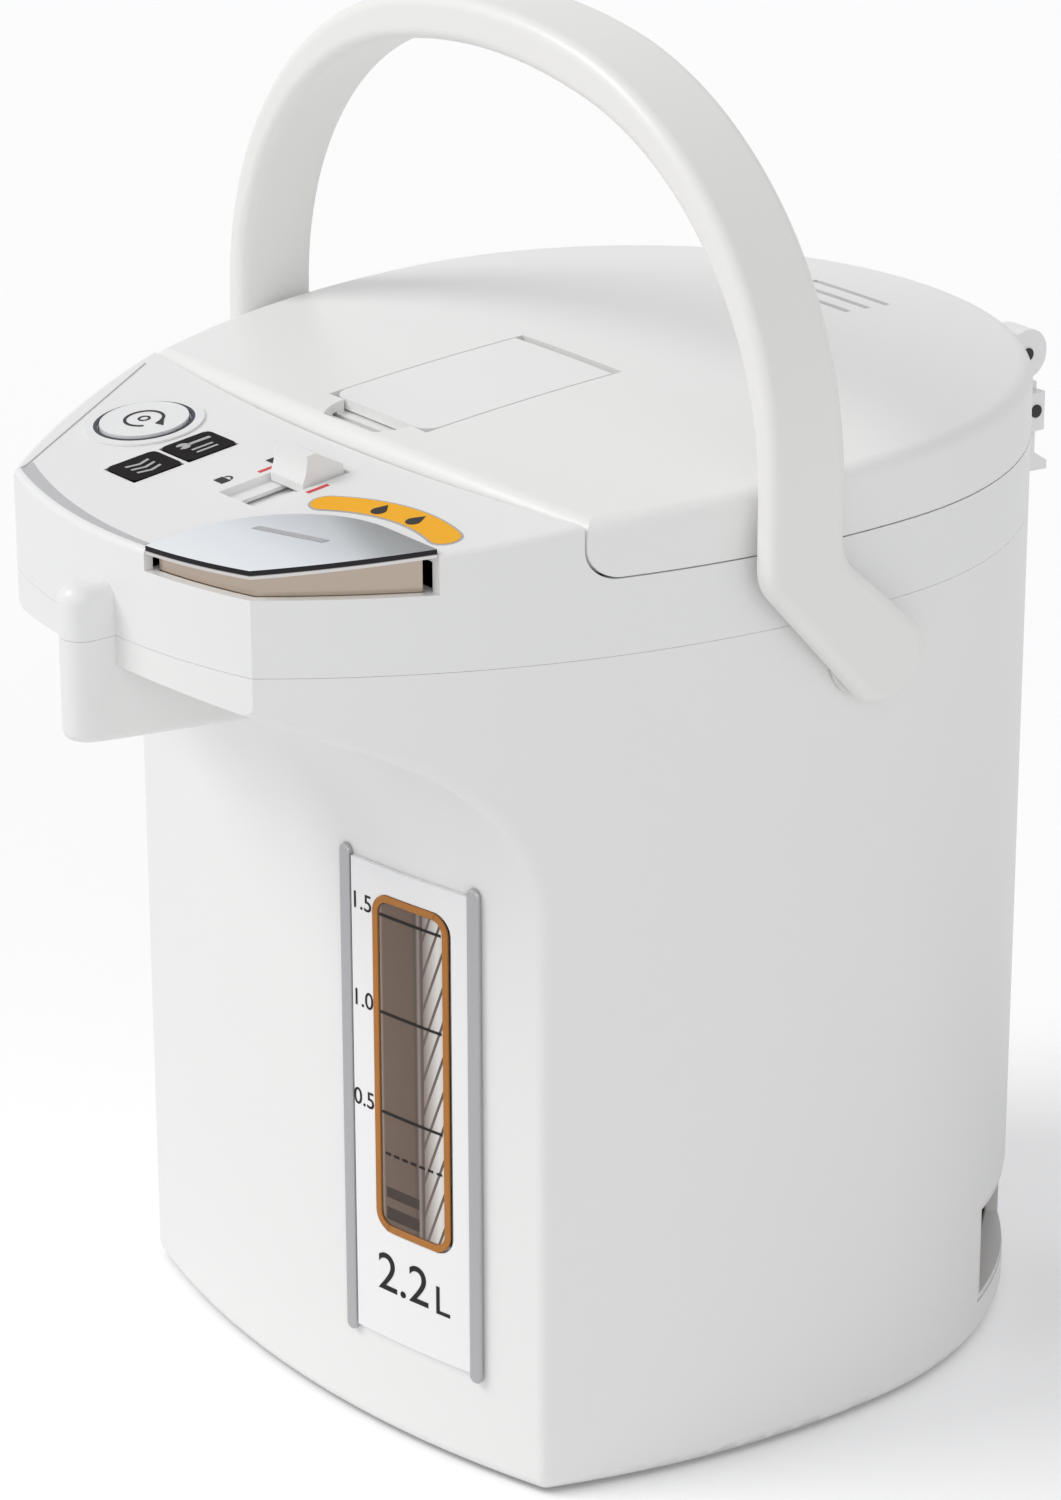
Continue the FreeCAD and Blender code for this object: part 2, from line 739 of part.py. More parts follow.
lens_rows = (-144.0, -127.4)
lens_cuts = [box(lens_x - lens_half, y, 240, 2 * lens_half, lens_long, 40) for y in lens_rows]
button_hole = cylinder(d.button_radius + d.loose, 40, d.button_x, d.button_y, 240)
shoulder = cut(fuse(ring, well_block), key_shape(0.8, 2.6, d.key_well_z, 9), key_shape(-0.4, -3, 248.8, 20),
               lock_recess, lock_window, button_hole, bridge, *lens_cuts)
node(shoulder, "shoulder_ring")

# Controls on the deck.

lenses = []
for y in lens_rows:
    lens = box(lens_x - lens_half + 0.2, y + 0.2, 240, 2 * lens_half - 0.4, lens_long - 0.4, 40)
    lens = rounded(lens, 2, lambda at, edge: abs(edge.Length - 40) < 0.01)
    lenses.append(on_deck(lens, -2.4, 0.3))
node(compound(*lenses), "indicator_lenses")
ring_outer = cylinder(15.5, 40, d.button_x, d.button_y, 240)
ring_hole = cylinder(d.button_radius + 0.6, 60, d.button_x, d.button_y, 230)
node(cut(on_deck(ring_outer, 0.05, 0.6), ring_hole), "button_ring")
button_low = 252.2
stem = cut(cylinder(d.button_radius, 30, d.button_x, d.button_y, button_low), above_deck(1.2))
node(fuse(stem, cylinder(13, 1.8, d.button_x, d.button_y, button_low)), "reboil_button")
knob_width = d.slot_width - 2.0
knob_y = d.slot_back_y - 13.5
knob = deck_box(d.slot_left + 1.0, knob_y, -1.6, knob_width, 12.6, 7.6)
back_slope = box(-20, knob_y + 3.5, deck_z(knob_y) + 8.4, 60, 30, 20, (1, 0, 0), -28)
knob = cut(knob, back_slope, cylinder(14, 40, -10, knob_y - 12.6, deck_z(knob_y) + 7, (0, 1, 0), 90))
stem = deck_box(lock_x - 2.2, knob_y + 4, -5, 4.4, 5, -1)
keeper = deck_box(lock_x - 6, knob_y - 13, -5, 12, 33.5, -3.6)
node(fuse(knob, stem, keeper), "lock_slider")
node(cut(key_shape(0, 0.2, 248.8, 1.0), key_shape(-5, -5, 230, 1.0 - d.key_plate)), "key_plate")
skirt_outer = key_shape(1.4, 3.0, d.key_skirt_low, 1.0 - d.key_plate)
node(cut(skirt_outer, key_shape(3.0, 4.6, 240, 5)), "key_skirt")


def coil(label, radius, wire, length, turns, x, y, z, turn=None):
    """A helical spring that stands at x, y, z."""
    path = Part.makeHelix((length - 2 * wire) / turns, length - 2 * wire, radius)
    circle = Part.Wire([Part.makeCircle(wire, vector(radius, 0, 0), vector(0, 1, 0))])
    solid = path.makePipeShell([circle], True, True)
    thing = doc.addObject("Part::Feature", "coil")
    thing.Shape = solid
    return node(thing, label, x, size(y), z, turn)


coil("key_spring", 5.0, 0.5, 10.6, 5, 44, -141, d.key_well_z + 0.6)
board_z = 243.0
board = fuse(box(-60, -131, board_z, 50, 31, 1.6), box(-45, -148, board_z, 35, 18, 1.6))
lamps = [box(lens_x - 3, y + 5, board_z + 1.6, 6, 6, 5) for y in lens_rows]
node(fuse(board, *lamps), "control_board")
switch = fuse(box(d.button_x - 6, d.button_y - 6, board_z + 1.6, 12, 12, 4.4), cylinder(
    1.8, 3, d.button_x, d.button_y, board_z + 5.4))
node(switch, "button_switch")

# Lid: domed top shell, bottom plate, steel inner lid with its gasket, and the steam valve.


def dome(shift):
    """The ball whose top is the lid's crown, moved down by shift."""
    ball = doc.addObject("Part::Sphere", "dome")
    bind(ball, "Radius", d.lid_dome_radius)
    return place(ball, 0, d.lid_dome_y, d.lid_top_z - d.lid_dome_radius - shift)


crown = common(lid_space(0, d.lid_bottom_z), dome(0))
crown = rounded(crown, 4.2, lambda at, edge: at.z > 261 and edge.Length > 12)
lid_front_bar = 6
lid_room = common(prism(lid_outline(d.wall, lid_front_bar), d.lid_bottom_z - 1, 40), dome(d.wall))
tray_walls = common(box(-d.lever_half - 3, d.lever_front_y - 3, d.lever_floor - 2, 2 * d.lever_half + 6,
                        d.lever_back_y - d.lever_front_y + 6, 30), dome(1))
valve_box = cut(common(box(-18, d.vent_y - 13, d.lid_bottom_z + 2.6, 36, 26, 30), dome(d.wall + 0.1)),
                box(-16, d.vent_y - 11, d.lid_bottom_z + 5, 32, 22, 40),
                cylinder(3, 20, 0, d.vent_y, d.lid_bottom_z - 5))
vents = [box(-15, d.vent_y + row * 7 - 1.1, 255, 30, 2.2, 30) for row in (-1, 0, 1)]
lever_recess = box(-d.lever_half - 0.5, d.lever_front_y - 0.5, d.lever_floor, 2 * d.lever_half + 1,
                   d.lever_back_y - d.lever_front_y + 3.0, 30)
finger_scoop = common(cylinder(14, 30, 0, d.lever_front_y, d.lever_floor), box(-30, -92, 250, 60, 12, 40))
knuckle_in, knuckle_out = 20.0, 29.5
knuckles = []
for start in (knuckle_in, -knuckle_out):
    knuckles.append(cross_pin(d.knuckle_radius, knuckle_out - knuckle_in, start, d.hinge_y, d.hinge_z))
    knuckles.append(box(start, 97, d.lid_bottom_z + 0.3, knuckle_out - knuckle_in, d.hinge_y - 97, 8.5))
pin_hole = cross_pin(d.pin_radius + d.running, 80, -40, d.hinge_y, d.hinge_z)
latch_half = 9
latch_slot = box(-latch_half - 0.5, -100, 253.6, 2 * latch_half + 1, 18, 4)
lever_pin_hole = cross_pin(1.2 + d.running, 60, -30, d.lever_pin_y, d.lever_pin_z)
shell = cut(crown, lid_room)
shell = cut(fuse(shell, tray_walls, *knuckles), lever_recess, finger_scoop, pin_hole, latch_slot,
            lever_pin_hole, *vents)
node(shell, "lid_top")
node(valve_box, "steam_valve_box")
ball = doc.addObject("Part::Sphere", "ball")
bind(ball, "Radius", 5)
place(ball, 0, d.vent_y, d.lid_bottom_z + 5 + 4.05)
node(compound(ball), "steam_valve_ball")
lid_plate = prism(lid_outline(d.wall + 0.3, lid_front_bar), d.lid_bottom_z, 2.4)
plate_boss = cylinder(9, 4, 0, 0, d.lid_bottom_z - 1.4)
lid_screw_places = [(64, -58), (-64, -58), (60, 60), (-60, 60)]
plate_holes = [cylinder(1.8, 8, x, y, d.lid_bottom_z - 2) for x, y in lid_screw_places]
steam_hole = cylinder(3, 20, 0, d.vent_y, d.lid_bottom_z - 5)
knuckle_room = [box(start - 0.3, 96.6, 240, knuckle_out - knuckle_in + 0.6, 20, 20) for start in (
    knuckle_in, -knuckle_out)]
node(cut(fuse(lid_plate, plate_boss), steam_hole, cylinder(1.5, 8, 0, 0, d.lid_bottom_z - 3), *plate_holes,
         *knuckle_room), "lid_bottom")
lid_screws = [
    fuse(cylinder(3, 1.2, x, y, d.lid_bottom_z - 1.2), cylinder(1.5, 9, x, y, d.lid_bottom_z - 0.2))
    for x, y in lid_screw_places]
node(compound(*lid_screws), "lid_screws")
disc_thick = 0.8
disc_z = d.lid_bottom_z - 1.4 - disc_thick
steam_turns = [math.radians(turn) for turn in range(0, 360, 60)]
steam_holes = [cylinder(1.6, 4, 24 * math.cos(turn), 50 + 8 * math.sin(turn), disc_z - 1)
               for turn in steam_turns]
node(cut(turned([(0, disc_z), (80, disc_z), (80, disc_z + disc_thick), (0, disc_z + disc_thick)]),
         *steam_holes, cylinder(1.5, 8, 0, 0, disc_z - 2)), "inner_lid")
gasket_low = d.vessel_top + 0.15
node(turned([(72, gasket_low), (81, gasket_low), (81, disc_z), (72, disc_z)]), "lid_gasket")
node(fuse(cylinder(4, 1.6, 0, 0, disc_z - 1.6), cylinder(1.45, 5.5, 0, 0, disc_z - 1)), "inner_lid_screw")

# Lid lever with its pin, and the sliding latch that it draws.

lever_block = box(-d.lever_half, d.lever_front_y, d.lever_floor + 0.5, 2 * d.lever_half,
                  d.lever_back_y - 0.4 - d.lever_front_y, 30)
lever_block = rounded(lever_block, 5, lambda at, edge: abs(edge.Length - 30) < 0.01 and at.y < -50)
lever_block = rounded(lever_block, 2.0, lambda at, edge: (
    edge.Length > 30 and at.y > -30 and at.z < float(d.lever_floor) + 1))
lever_block = common(lever_block, dome(0))
node(cut(lever_block, lever_pin_hole), "lid_lever")
lever_pin = cross_pin(1.2, 2 * d.lever_half + 4, -d.lever_half - 2, d.lever_pin_y, d.lever_pin_z)
node(compound(lever_pin), "lever_pin")
latch = rounded(box(-latch_half, -94.7, 254, 2 * latch_half, 33, 3.2), 1, lambda at, edge: at.y < -94)
node(cut(latch, box(-4, -76, 250, 8, 8, 12)), "lid_latch")
guide_z = d.lid_bottom_z + 2.4
guide_front_y = -83
guides = [box(side * (latch_half + 0.5) - (1.5 if side < 0 else 0), guide_front_y, guide_z, 1.5, 23, 5.8)
          for side in (1, -1)]
stop = box(-latch_half, -49, guide_z, 2 * latch_half, 2, 7)
guide_floor = box(-latch_half - 2, guide_front_y, guide_z, 2 * latch_half + 4, 36, 1)
node(fuse(*guides, stop, guide_floor), "latch_guide")
coil("latch_spring", 1.3, 0.3, 12.1, 7, 0, -61.3, 255.6, FreeCAD.Rotation(vector(1, 0, 0), -90))

# Hinge at the back: a fixed bracket, the lid's pin and the release lever with its pin.

bracket_half = 19.4
ear_in, ear_out = 28.2, 31.2
ears = [box(start, 95, 229.6, ear_out - ear_in, 26, 10.9) for start in (ear_in, -ear_out)]
bracket = fuse(cross_pin(6, 2 * bracket_half, -bracket_half, d.hinge_y, d.hinge_z),
               box(-bracket_half, 100, 230, 2 * bracket_half, 12, 14),
               box(-bracket_half, 109.8, 240, 2 * bracket_half, 6, 10),
               box(-ear_out, 95, 229.6, 2 * ear_out, 12.5, 13), *ears)
release_hole = cross_pin(d.pin_radius + d.running, 80, -40, d.release_y, d.release_z)
node(cut(bracket, cylinder(d.back_radius + 0.05, 60, 0, 0, 220), pin_hole, release_hole), "hinge_bracket")
hinge_pin = cross_pin(d.pin_radius, 2 * knuckle_out + 0.8, -knuckle_out - 0.4, d.hinge_y, d.hinge_z)
node(compound(hinge_pin), "hinge_pin")
release_pin = cross_pin(d.pin_radius, 2 * ear_out + 0.8, -ear_out - 0.4, d.release_y, d.release_z)
node(compound(release_pin), "release_pin")
tongue_half = 27.6
tongue = side_plate([(115.8, 219.5), (115.8, 217), (d.lip_back_y, 216.4), (d.lip_back_y, 218.8),
                     (121.2, 222), (121.2, 242.4), (115.8, 242.4)], -tongue_half, 2 * tongue_half)
barrel = cross_pin(4.4, 2 * tongue_half, -tongue_half, d.release_y, d.release_z)
node(cut(fuse(tongue, barrel), release_hole), "release_lever")

# Carrying handle: an arch on two arms that turn on pivots in the casing.


def arch_outline(half, low, top, crown):
    """Corners and arcs of an arch: two side arcs tangent to one crown arc."""
    middle = top - crown
    drop = low - middle
    side = (crown * crown - half * half - drop * drop) / (2 * (crown - half))
    reach = crown - side
    join_x = (half - side) * crown / reach
    join_z = middle + drop * crown / reach
    return side, join_x, join_z


def arch(half, top, crown):
    side, join_x, join_z = arch_outline(half, d.handle_spring_z, top, crown)
    low = d.handle_spring_z
    outline = [(half, low, side), (join_x, join_z, crown), (-join_x, join_z, side), (-half, low)]
    owner = body("arch")
    pad(owner, sketch(owner, "XZ_Plane", [outline], 0, -(d.handle_y + d.handle_width / 2)), d.handle_width)
    return owner


edge_round = 3.2
handle_thick = d.handle_outer - d.handle_inner
outer_arch = arch(d.handle_outer, d.handle_top, d.handle_crown_radius)
inner_arch = arch(d.handle_inner, d.handle_top - d.handle_grip, d.handle_crown_radius - 5)
bow = rounded(cut(outer_arch, inner_arch), edge_round, lambda at, edge: at.z > 270 and edge.Length > 25)
front_edge = d.handle_y - d.handle_width / 2
back_edge = d.handle_y + d.handle_width / 2
arm_outline = [(front_edge, d.handle_spring_z), (front_edge, 243), (-16.75, 207.5, d.lobe_radius),
               (1.1, 223.75), (back_edge, 247), (back_edge, d.handle_spring_z)]
arms = []
for x in (d.handle_inner, -d.handle_outer):
    arm = rounded(side_plate(arm_outline, x, handle_thick), 12, lambda at, edge: (
        abs(edge.Length - 8) < 0.01 and 240 < at.z < 250))
    arms.append(rounded(arm, edge_round, lambda at, edge: at.z < 265.9 and edge.Length > 8.1))
sockets = [cross_pin(d.pivot_radius + d.running, 7.5, start, d.pivot_y, d.pivot_z) for start in (
    d.handle_inner - 1, -d.handle_inner - 6.5)]
node(cut(fuse(bow, *arms), *sockets), "handle")
pivots = [fuse(cross_pin(d.pivot_radius, 15, start, d.pivot_y, d.pivot_z),
               cross_pin(d.lobe_radius, 0.4, washer, d.pivot_y, d.pivot_z))
          for start, washer in ((97, 105.35), (-112, -105.75))]
node(compound(*pivots), "handle_pivots")


def save():
    """Check every object, then write each piece to its own file."""
    doc.recompute()
    failed = [thing.Name for thing in doc.Objects if {"Invalid", "Error"} & set(thing.State)]
    for thing in nodes:
        if thing.Shape.isNull() or not thing.Shape.isValid() or not thing.Shape.Solids:
            failed.append(thing.Label)
    if failed:
        raise RuntimeError("failed: " + ", ".join(failed))
    os.makedirs("parts", exist_ok=True)
    for thing in nodes:
        thing.Shape.exportStep(f"parts/{thing.Label}.step")
        extent = thing.Shape.BoundBox
        volume = thing.Shape.Volume / 1000
        print(f"{thing.Label:20s} solids {len(thing.Shape.Solids)} volume {volume:8.2f} cm3",
              f"x {extent.XMin:.1f}..{extent.XMax:.1f} y {extent.YMin:.1f}..{extent.YMax:.1f}",
              f"z {extent.ZMin:.1f}..{extent.ZMax:.1f}")


save()
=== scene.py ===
import bmesh
import bpy
import math
from mathutils import Matrix, Vector


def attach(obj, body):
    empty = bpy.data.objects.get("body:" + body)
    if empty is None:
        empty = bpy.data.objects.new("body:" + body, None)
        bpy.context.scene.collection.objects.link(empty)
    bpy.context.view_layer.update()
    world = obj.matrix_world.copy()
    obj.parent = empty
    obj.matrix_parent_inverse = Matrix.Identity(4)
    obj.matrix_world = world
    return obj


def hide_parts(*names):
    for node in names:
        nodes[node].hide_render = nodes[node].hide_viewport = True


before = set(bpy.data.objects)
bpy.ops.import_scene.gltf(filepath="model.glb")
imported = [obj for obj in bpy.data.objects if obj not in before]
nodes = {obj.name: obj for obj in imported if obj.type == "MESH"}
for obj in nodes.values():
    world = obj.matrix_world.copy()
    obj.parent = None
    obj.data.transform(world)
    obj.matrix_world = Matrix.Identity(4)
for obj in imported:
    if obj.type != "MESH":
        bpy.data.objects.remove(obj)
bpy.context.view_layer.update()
MM = 0.001

# Camera, at the photograph's place: to the right of the front and a little above the pot.
# It looks at the middle of the body with a long lens.

camera_data = bpy.data.cameras.new("camera")
camera_data.lens = 121.2
camera_data.clip_end = 50
camera = bpy.data.objects.new("camera", camera_data)
bpy.context.scene.collection.objects.link(camera)
camera_place = Vector((0.9761, -0.7781, 0.6576))
camera_target = Vector((0.00016, -0.00662, 0.16395))
camera_roll = math.radians(-0.14)
camera.location = camera_place
camera.rotation_mode = "QUATERNION"
look = (camera_target - camera_place).to_track_quat("-Z", "Y").to_matrix()
look = look @ Matrix.Rotation(camera_roll, 3, "Z")
camera.rotation_quaternion = look.to_quaternion()
bpy.context.scene.camera = camera
bpy.context.scene.view_settings.view_transform = "Standard"

# Floor and studio light: a plain pale floor, an even white surround and two broad soft lamps.
# The surround shows white to the camera and in gloss, and lights the pot a little lower.

floor_mesh = bpy.data.meshes.new("floor")
floor_bm = bmesh.new()
bmesh.ops.create_grid(floor_bm, x_segments=1, y_segments=1, size=15)
floor_bm.to_mesh(floor_mesh)
floor_bm.free()
floor = bpy.data.objects.new("floor", floor_mesh)
bpy.context.scene.collection.objects.link(floor)
floor_finish = bpy.data.materials.new("floor_paper")
floor_finish.use_nodes = True
floor_shader = floor_finish.node_tree.nodes["Principled BSDF"]
floor_shader.inputs["Base Color"].default_value = (0.955, 0.955, 0.965, 1)
floor_shader.inputs["Roughness"].default_value = 0.9
floor_shader.inputs["Specular IOR Level"].default_value = 0.1
floor_paths = floor_finish.node_tree.nodes.new("ShaderNodeLightPath")
floor_lift = floor_finish.node_tree.nodes.new("ShaderNodeMath")
floor_lift.operation = "MULTIPLY"
floor_lift.inputs[1].default_value = 0.16
floor_shader.inputs["Emission Color"].default_value = (1, 1, 1, 1)
floor_finish.node_tree.links.new(floor_paths.outputs["Is Camera Ray"], floor_lift.inputs[0])
floor_finish.node_tree.links.new(floor_lift.outputs[0], floor_shader.inputs["Emission Strength"])
floor_mesh.materials.append(floor_finish)

world = bpy.data.worlds.new("studio")
bpy.context.scene.world = world
world.use_nodes = True
sky = world.node_tree.nodes["Background"]
paths = world.node_tree.nodes.new("ShaderNodeLightPath")
seen = world.node_tree.nodes.new("ShaderNodeMath")
seen.operation = "MAXIMUM"
seen_through = world.node_tree.nodes.new("ShaderNodeMath")
seen_through.operation = "MAXIMUM"
level = world.node_tree.nodes.new("ShaderNodeMapRange")
level.inputs["To Min"].default_value = 0.545
level.inputs["To Max"].default_value = 1.0
world.node_tree.links.new(paths.outputs["Is Camera Ray"], seen.inputs[0])
world.node_tree.links.new(paths.outputs["Is Glossy Ray"], seen.inputs[1])
world.node_tree.links.new(seen.outputs[0], seen_through.inputs[0])
world.node_tree.links.new(paths.outputs["Is Transmission Ray"], seen_through.inputs[1])
world.node_tree.links.new(seen_through.outputs[0], level.inputs["Value"])
world.node_tree.links.new(level.outputs["Result"], sky.inputs["Strength"])
sky.inputs["Color"].default_value = (0.985, 0.99, 1.0, 1)


def soft_sun(name, toward, strength, spread):
    """A broad lamp that shines from the direction toward."""
    lamp = bpy.data.lights.new(name, "SUN")
    lamp.energy = strength
    lamp.angle = math.radians(spread)
    lamp.color = (1.0, 0.995, 0.985)
    thing = bpy.data.objects.new(name, lamp)
    thing.rotation_mode = "QUATERNION"
    thing.rotation_quaternion = Vector(toward).to_track_quat("Z", "Y")
    bpy.context.scene.collection.objects.link(thing)


soft_sun("front_lamp", (-0.42, -0.62, 0.66), 1.3, 30)
soft_sun("side_lamp", (0.90, -0.40, 0.30), 0.38, 50)

# Casing: the tall outer shell, moulded in glossy white plastic, with the lower half of the beak.
# The spout's housing is the same plastic and is glued under the beak.


def finish(name, colour, rough, rough_spread=0.06, tint=0.02, tint_size=18, grain=0.0, grain_size=900,
           **sockets):
    """A shader with slow colour change, uneven gloss and a fine grain, all in the piece's own space."""
    material = bpy.data.materials.new(name)
    material.use_nodes = True
    tree = material.node_tree
    shader = tree.nodes["Principled BSDF"]
    for socket, value in sockets.items():
        shader.inputs[socket.replace("_", " ")].default_value = value
    place = tree.nodes.new("ShaderNodeTexCoord")
    broad = tree.nodes.new("ShaderNodeTexNoise")
    broad.inputs["Scale"].default_value = tint_size
    broad.inputs["Detail"].default_value = 3
    tree.links.new(place.outputs["Object"], broad.inputs["Vector"])
    mix = tree.nodes.new("ShaderNodeMix")
    mix.data_type = "RGBA"
    mix.inputs["A"].default_value = (*[c * (1 - tint) for c in colour], 1)
    mix.inputs["B"].default_value = (*[min(1, c * (1 + tint)) for c in colour], 1)
    tree.links.new(broad.outputs["Fac"], mix.inputs["Factor"])
    tree.links.new(mix.outputs["Result"], shader.inputs["Base Color"])
    uneven = tree.nodes.new("ShaderNodeTexNoise")
    uneven.inputs["Scale"].default_value = tint_size * 5
    uneven.inputs["Detail"].default_value = 5
    tree.links.new(place.outputs["Object"], uneven.inputs["Vector"])
    gloss = tree.nodes.new("ShaderNodeMapRange")
    gloss.inputs["To Min"].default_value = max(0.02, rough - rough_spread)
    gloss.inputs["To Max"].default_value = rough + rough_spread
    tree.links.new(uneven.outputs["Fac"], gloss.inputs["Value"])
    tree.links.new(gloss.outputs["Result"], shader.inputs["Roughness"])
    if grain:
        fine = tree.nodes.new("ShaderNodeTexNoise")
        fine.inputs["Scale"].default_value = grain_size
        fine.inputs["Detail"].default_value = 2
        tree.links.new(place.outputs["Object"], fine.inputs["Vector"])
        bump = tree.nodes.new("ShaderNodeBump")
        bump.inputs["Strength"].default_value = grain
        bump.inputs["Distance"].default_value = 0.0002
        tree.links.new(fine.outputs["Fac"], bump.inputs["Height"])
        tree.links.new(bump.outputs["Normal"], shader.inputs["Normal"])
    return material


def dress(material, *names):
    """Give CAD nodes their finish."""
    for name in names:
        mesh = nodes[name].data
        mesh.materials.clear()
        mesh.materials.append(material)


body_white = finish("body_white", (0.865, 0.865, 0.855), 0.3, rough_spread=0.015, tint=0.008,
                    grain=0.02, Specular_IOR_Level=0.4)
dress(body_white, "main_casing", "spout_housing")

# Base: a black cover of matt moulded plastic with vent slots, which closes the casing from below.
# Four plated screws hold it, and the pot stands on four moulded rubber feet stuck under it.

base_black = finish("base_black", (0.045, 0.045, 0.045), 0.55, tint=0.1, grain=0.3)
foot_rubber = finish("foot_rubber", (0.09, 0.09, 0.09), 0.8, tint=0.15, grain=0.5)
plated_steel = finish("plated_steel", (0.55, 0.55, 0.54), 0.3, rough_spread=0.1, tint=0.08,
                      tint_size=200, Metallic=1.0)
dress(base_black, "bottom_cover")
dress(foot_rubber, "rubber_feet")
dress(plated_steel, "base_screws")

# Power socket: a moulded plastic recess let into the casing, pale plastic at its mouth, with shade
# painted near black deeper inside.
# A black insulator is set deep in it and carries two bare copper contacts, pressed in.

socket_black = finish("socket_black", (0.03, 0.03, 0.03), 0.4, tint=0.1, grain=0.2)
# Painted shade: the recess is coloured near black beyond a set depth into the socket, and keeps its
# pale plastic colour at the mouth.
recess_painted_shade = finish("recess_painted_shade", (0.5, 0.5, 0.5), 0.45, grain=0.1)
recess_tree = recess_painted_shade.node_tree
recess_place = recess_tree.nodes.new("ShaderNodeTexCoord")
socket_inward = (0.7547, 0.6561, 0)
shade_start, shade_end = 0.1155, 0.1163
inward = recess_tree.nodes.new("ShaderNodeVectorMath")
inward.operation = "DOT_PRODUCT"
inward.inputs[1].default_value = socket_inward
shade_edge = recess_tree.nodes.new("ShaderNodeMapRange")
shade_edge.inputs["From Min"].default_value = shade_start
shade_edge.inputs["From Max"].default_value = shade_end
recess_shade_tone = recess_tree.nodes.new("ShaderNodeMix")
recess_shade_tone.data_type = "RGBA"
recess_shade_tone.inputs["A"].default_value = (0.012, 0.010, 0.010, 1)
recess_shade_tone.inputs["B"].default_value = (0.80, 0.79, 0.78, 1)
recess_tree.links.new(recess_place.outputs["Object"], inward.inputs[0])
recess_tree.links.new(inward.outputs["Value"], shade_edge.inputs["Value"])
recess_tree.links.new(shade_edge.outputs["Result"], recess_shade_tone.inputs["Factor"])
recess_shader = recess_tree.nodes["Principled BSDF"]
recess_tree.links.new(recess_shade_tone.outputs["Result"], recess_shader.inputs["Base Color"])
dress(recess_painted_shade, "socket_recess")
contact_copper = finish("contact_copper", (0.72, 0.40, 0.24), 0.25, tint=0.1, tint_size=300,
                        Metallic=1.0)
dress(socket_black, "socket_insulator")
dress(contact_copper, "socket_contacts")

# Shoulder ring: the moulded white ring that closes the shell, with the deck that carries the controls.
# The spout's cap is glued to its front, and the hinge bracket and release lever sit at its back.

deck_colour = (0.86, 0.862, 0.858)
deck_white = finish("deck_white", deck_colour, 0.3, rough_spread=0.015, tint=0.008, grain=0.02,
                    Specular_IOR_Level=0.4)
dress(deck_white, "shoulder_ring", "spout_cap", "hinge_bracket", "release_lever")

# Lid: a domed shell and a bottom plate, both moulded in glossy white plastic and screwed together.
# The opening lever is let into its top and turns on a steel pin, and a guide under it holds the latch.

lid_white = finish("lid_white", (0.87, 0.87, 0.86), 0.34, rough_spread=0.015, tint=0.008, grain=0.02,
                   Specular_IOR_Level=0.4)
lever_white = finish("lever_white", (0.86, 0.862, 0.855), 0.32, rough_spread=0.015, tint=0.008,
                     grain=0.03)
dress(lid_white, "lid_top", "lid_bottom", "latch_guide")
dress(lever_white, "lid_lever")

# Carrying handle: one arched moulding in white plastic, a little more satin than the body.
# It snaps over two white pivots that are pressed into the shell's sides.

handle_white = finish("handle_white", (0.865, 0.86, 0.845), 0.34, rough_spread=0.02, tint=0.01,
                      grain=0.03)
dress(handle_white, "handle", "handle_pivots")

# Inner vessel, inner lid and valve ball: drawn and turned stainless steel with fine level lines.
# The screws, springs and the lever's pin are bright plated steel, and the hinge's pins are coloured
# near black as painted shade for their pin holes.


def brushed(name, colour, rough):
    """Steel with fine level lines round its upright axis."""
    material = finish(name, colour, rough, rough_spread=0.08, tint=0.05, tint_size=30, Metallic=1.0)
    tree = material.node_tree
    shader = tree.nodes["Principled BSDF"]
    place = tree.nodes.new("ShaderNodeTexCoord")
    stretch = tree.nodes.new("ShaderNodeMapping")
    stretch.inputs["Scale"].default_value = (4, 4, 900)
    lines = tree.nodes.new("ShaderNodeTexNoise")
    lines.inputs["Scale"].default_value = 3
    bump = tree.nodes.new("ShaderNodeBump")
    bump.inputs["Strength"].default_value = 0.25
    bump.inputs["Distance"].default_value = 0.0002
    tree.links.new(place.outputs["Object"], stretch.inputs["Vector"])
    tree.links.new(stretch.outputs["Vector"], lines.inputs["Vector"])
    tree.links.new(lines.outputs["Fac"], bump.inputs["Height"])
    tree.links.new(bump.outputs["Normal"], shader.inputs["Normal"])
    return material


stainless = brushed("stainless", (0.62, 0.62, 0.61), 0.28)
dress(stainless, "inner_vessel", "inner_lid", "steam_valve_ball")
dress(plated_steel, "inner_lid_screw", "lid_screws", "lever_pin", "key_spring", "latch_spring")
# Painted shade: the hinge pins are made near black so that their pin holes show dark.
pin_hole_shade_black = finish("pin_hole_shade_black", (0.012, 0.012, 0.013), 0.5, tint=0.2, grain=0.2)
dress(pin_hole_shade_black, "hinge_pin", "release_pin")

# Works inside: a cast heater plate and a thermostat clamped under the vessel, and foil round it.
# The pump is dark plastic on a cast metal motor with a magnet, fed and emptied by silicone hoses.
# The control board is green coated laminate with a switch soldered under the start button.

silicone = finish("silicone", (0.78, 0.76, 0.70), 0.5, tint=0.05, grain=0.1, Subsurface_Weight=0.2)
cast_alloy = finish("cast_alloy", (0.52, 0.50, 0.47), 0.45, tint=0.1, tint_size=80, grain=0.4,
                    Metallic=1.0)
foil = finish("foil", (0.75, 0.75, 0.75), 0.25, tint=0.05, grain=0.3, grain_size=200, Metallic=1.0)
magnet_grey = finish("magnet_grey", (0.10, 0.10, 0.11), 0.5, tint=0.2, grain=0.3)
board_green = finish("board_green", (0.03, 0.14, 0.06), 0.35, tint=0.15, tint_size=150)
part_grey = finish("part_grey", (0.62, 0.62, 0.61), 0.35, grain=0.1)
dress(silicone, "inlet_hose", "delivery_hose", "gauge_sleeve", "outlet_pipe", "lid_gasket",
      "steam_valve_box")
dress(cast_alloy, "heater_plate", "pump_motor", "thermostat")
dress(foil, "insulation_sleeve")
dress(magnet_grey, "drive_magnet", "pump_housing", "button_switch")
dress(board_green, "control_board")
dress(part_grey, "pump_impeller", "lid_latch")
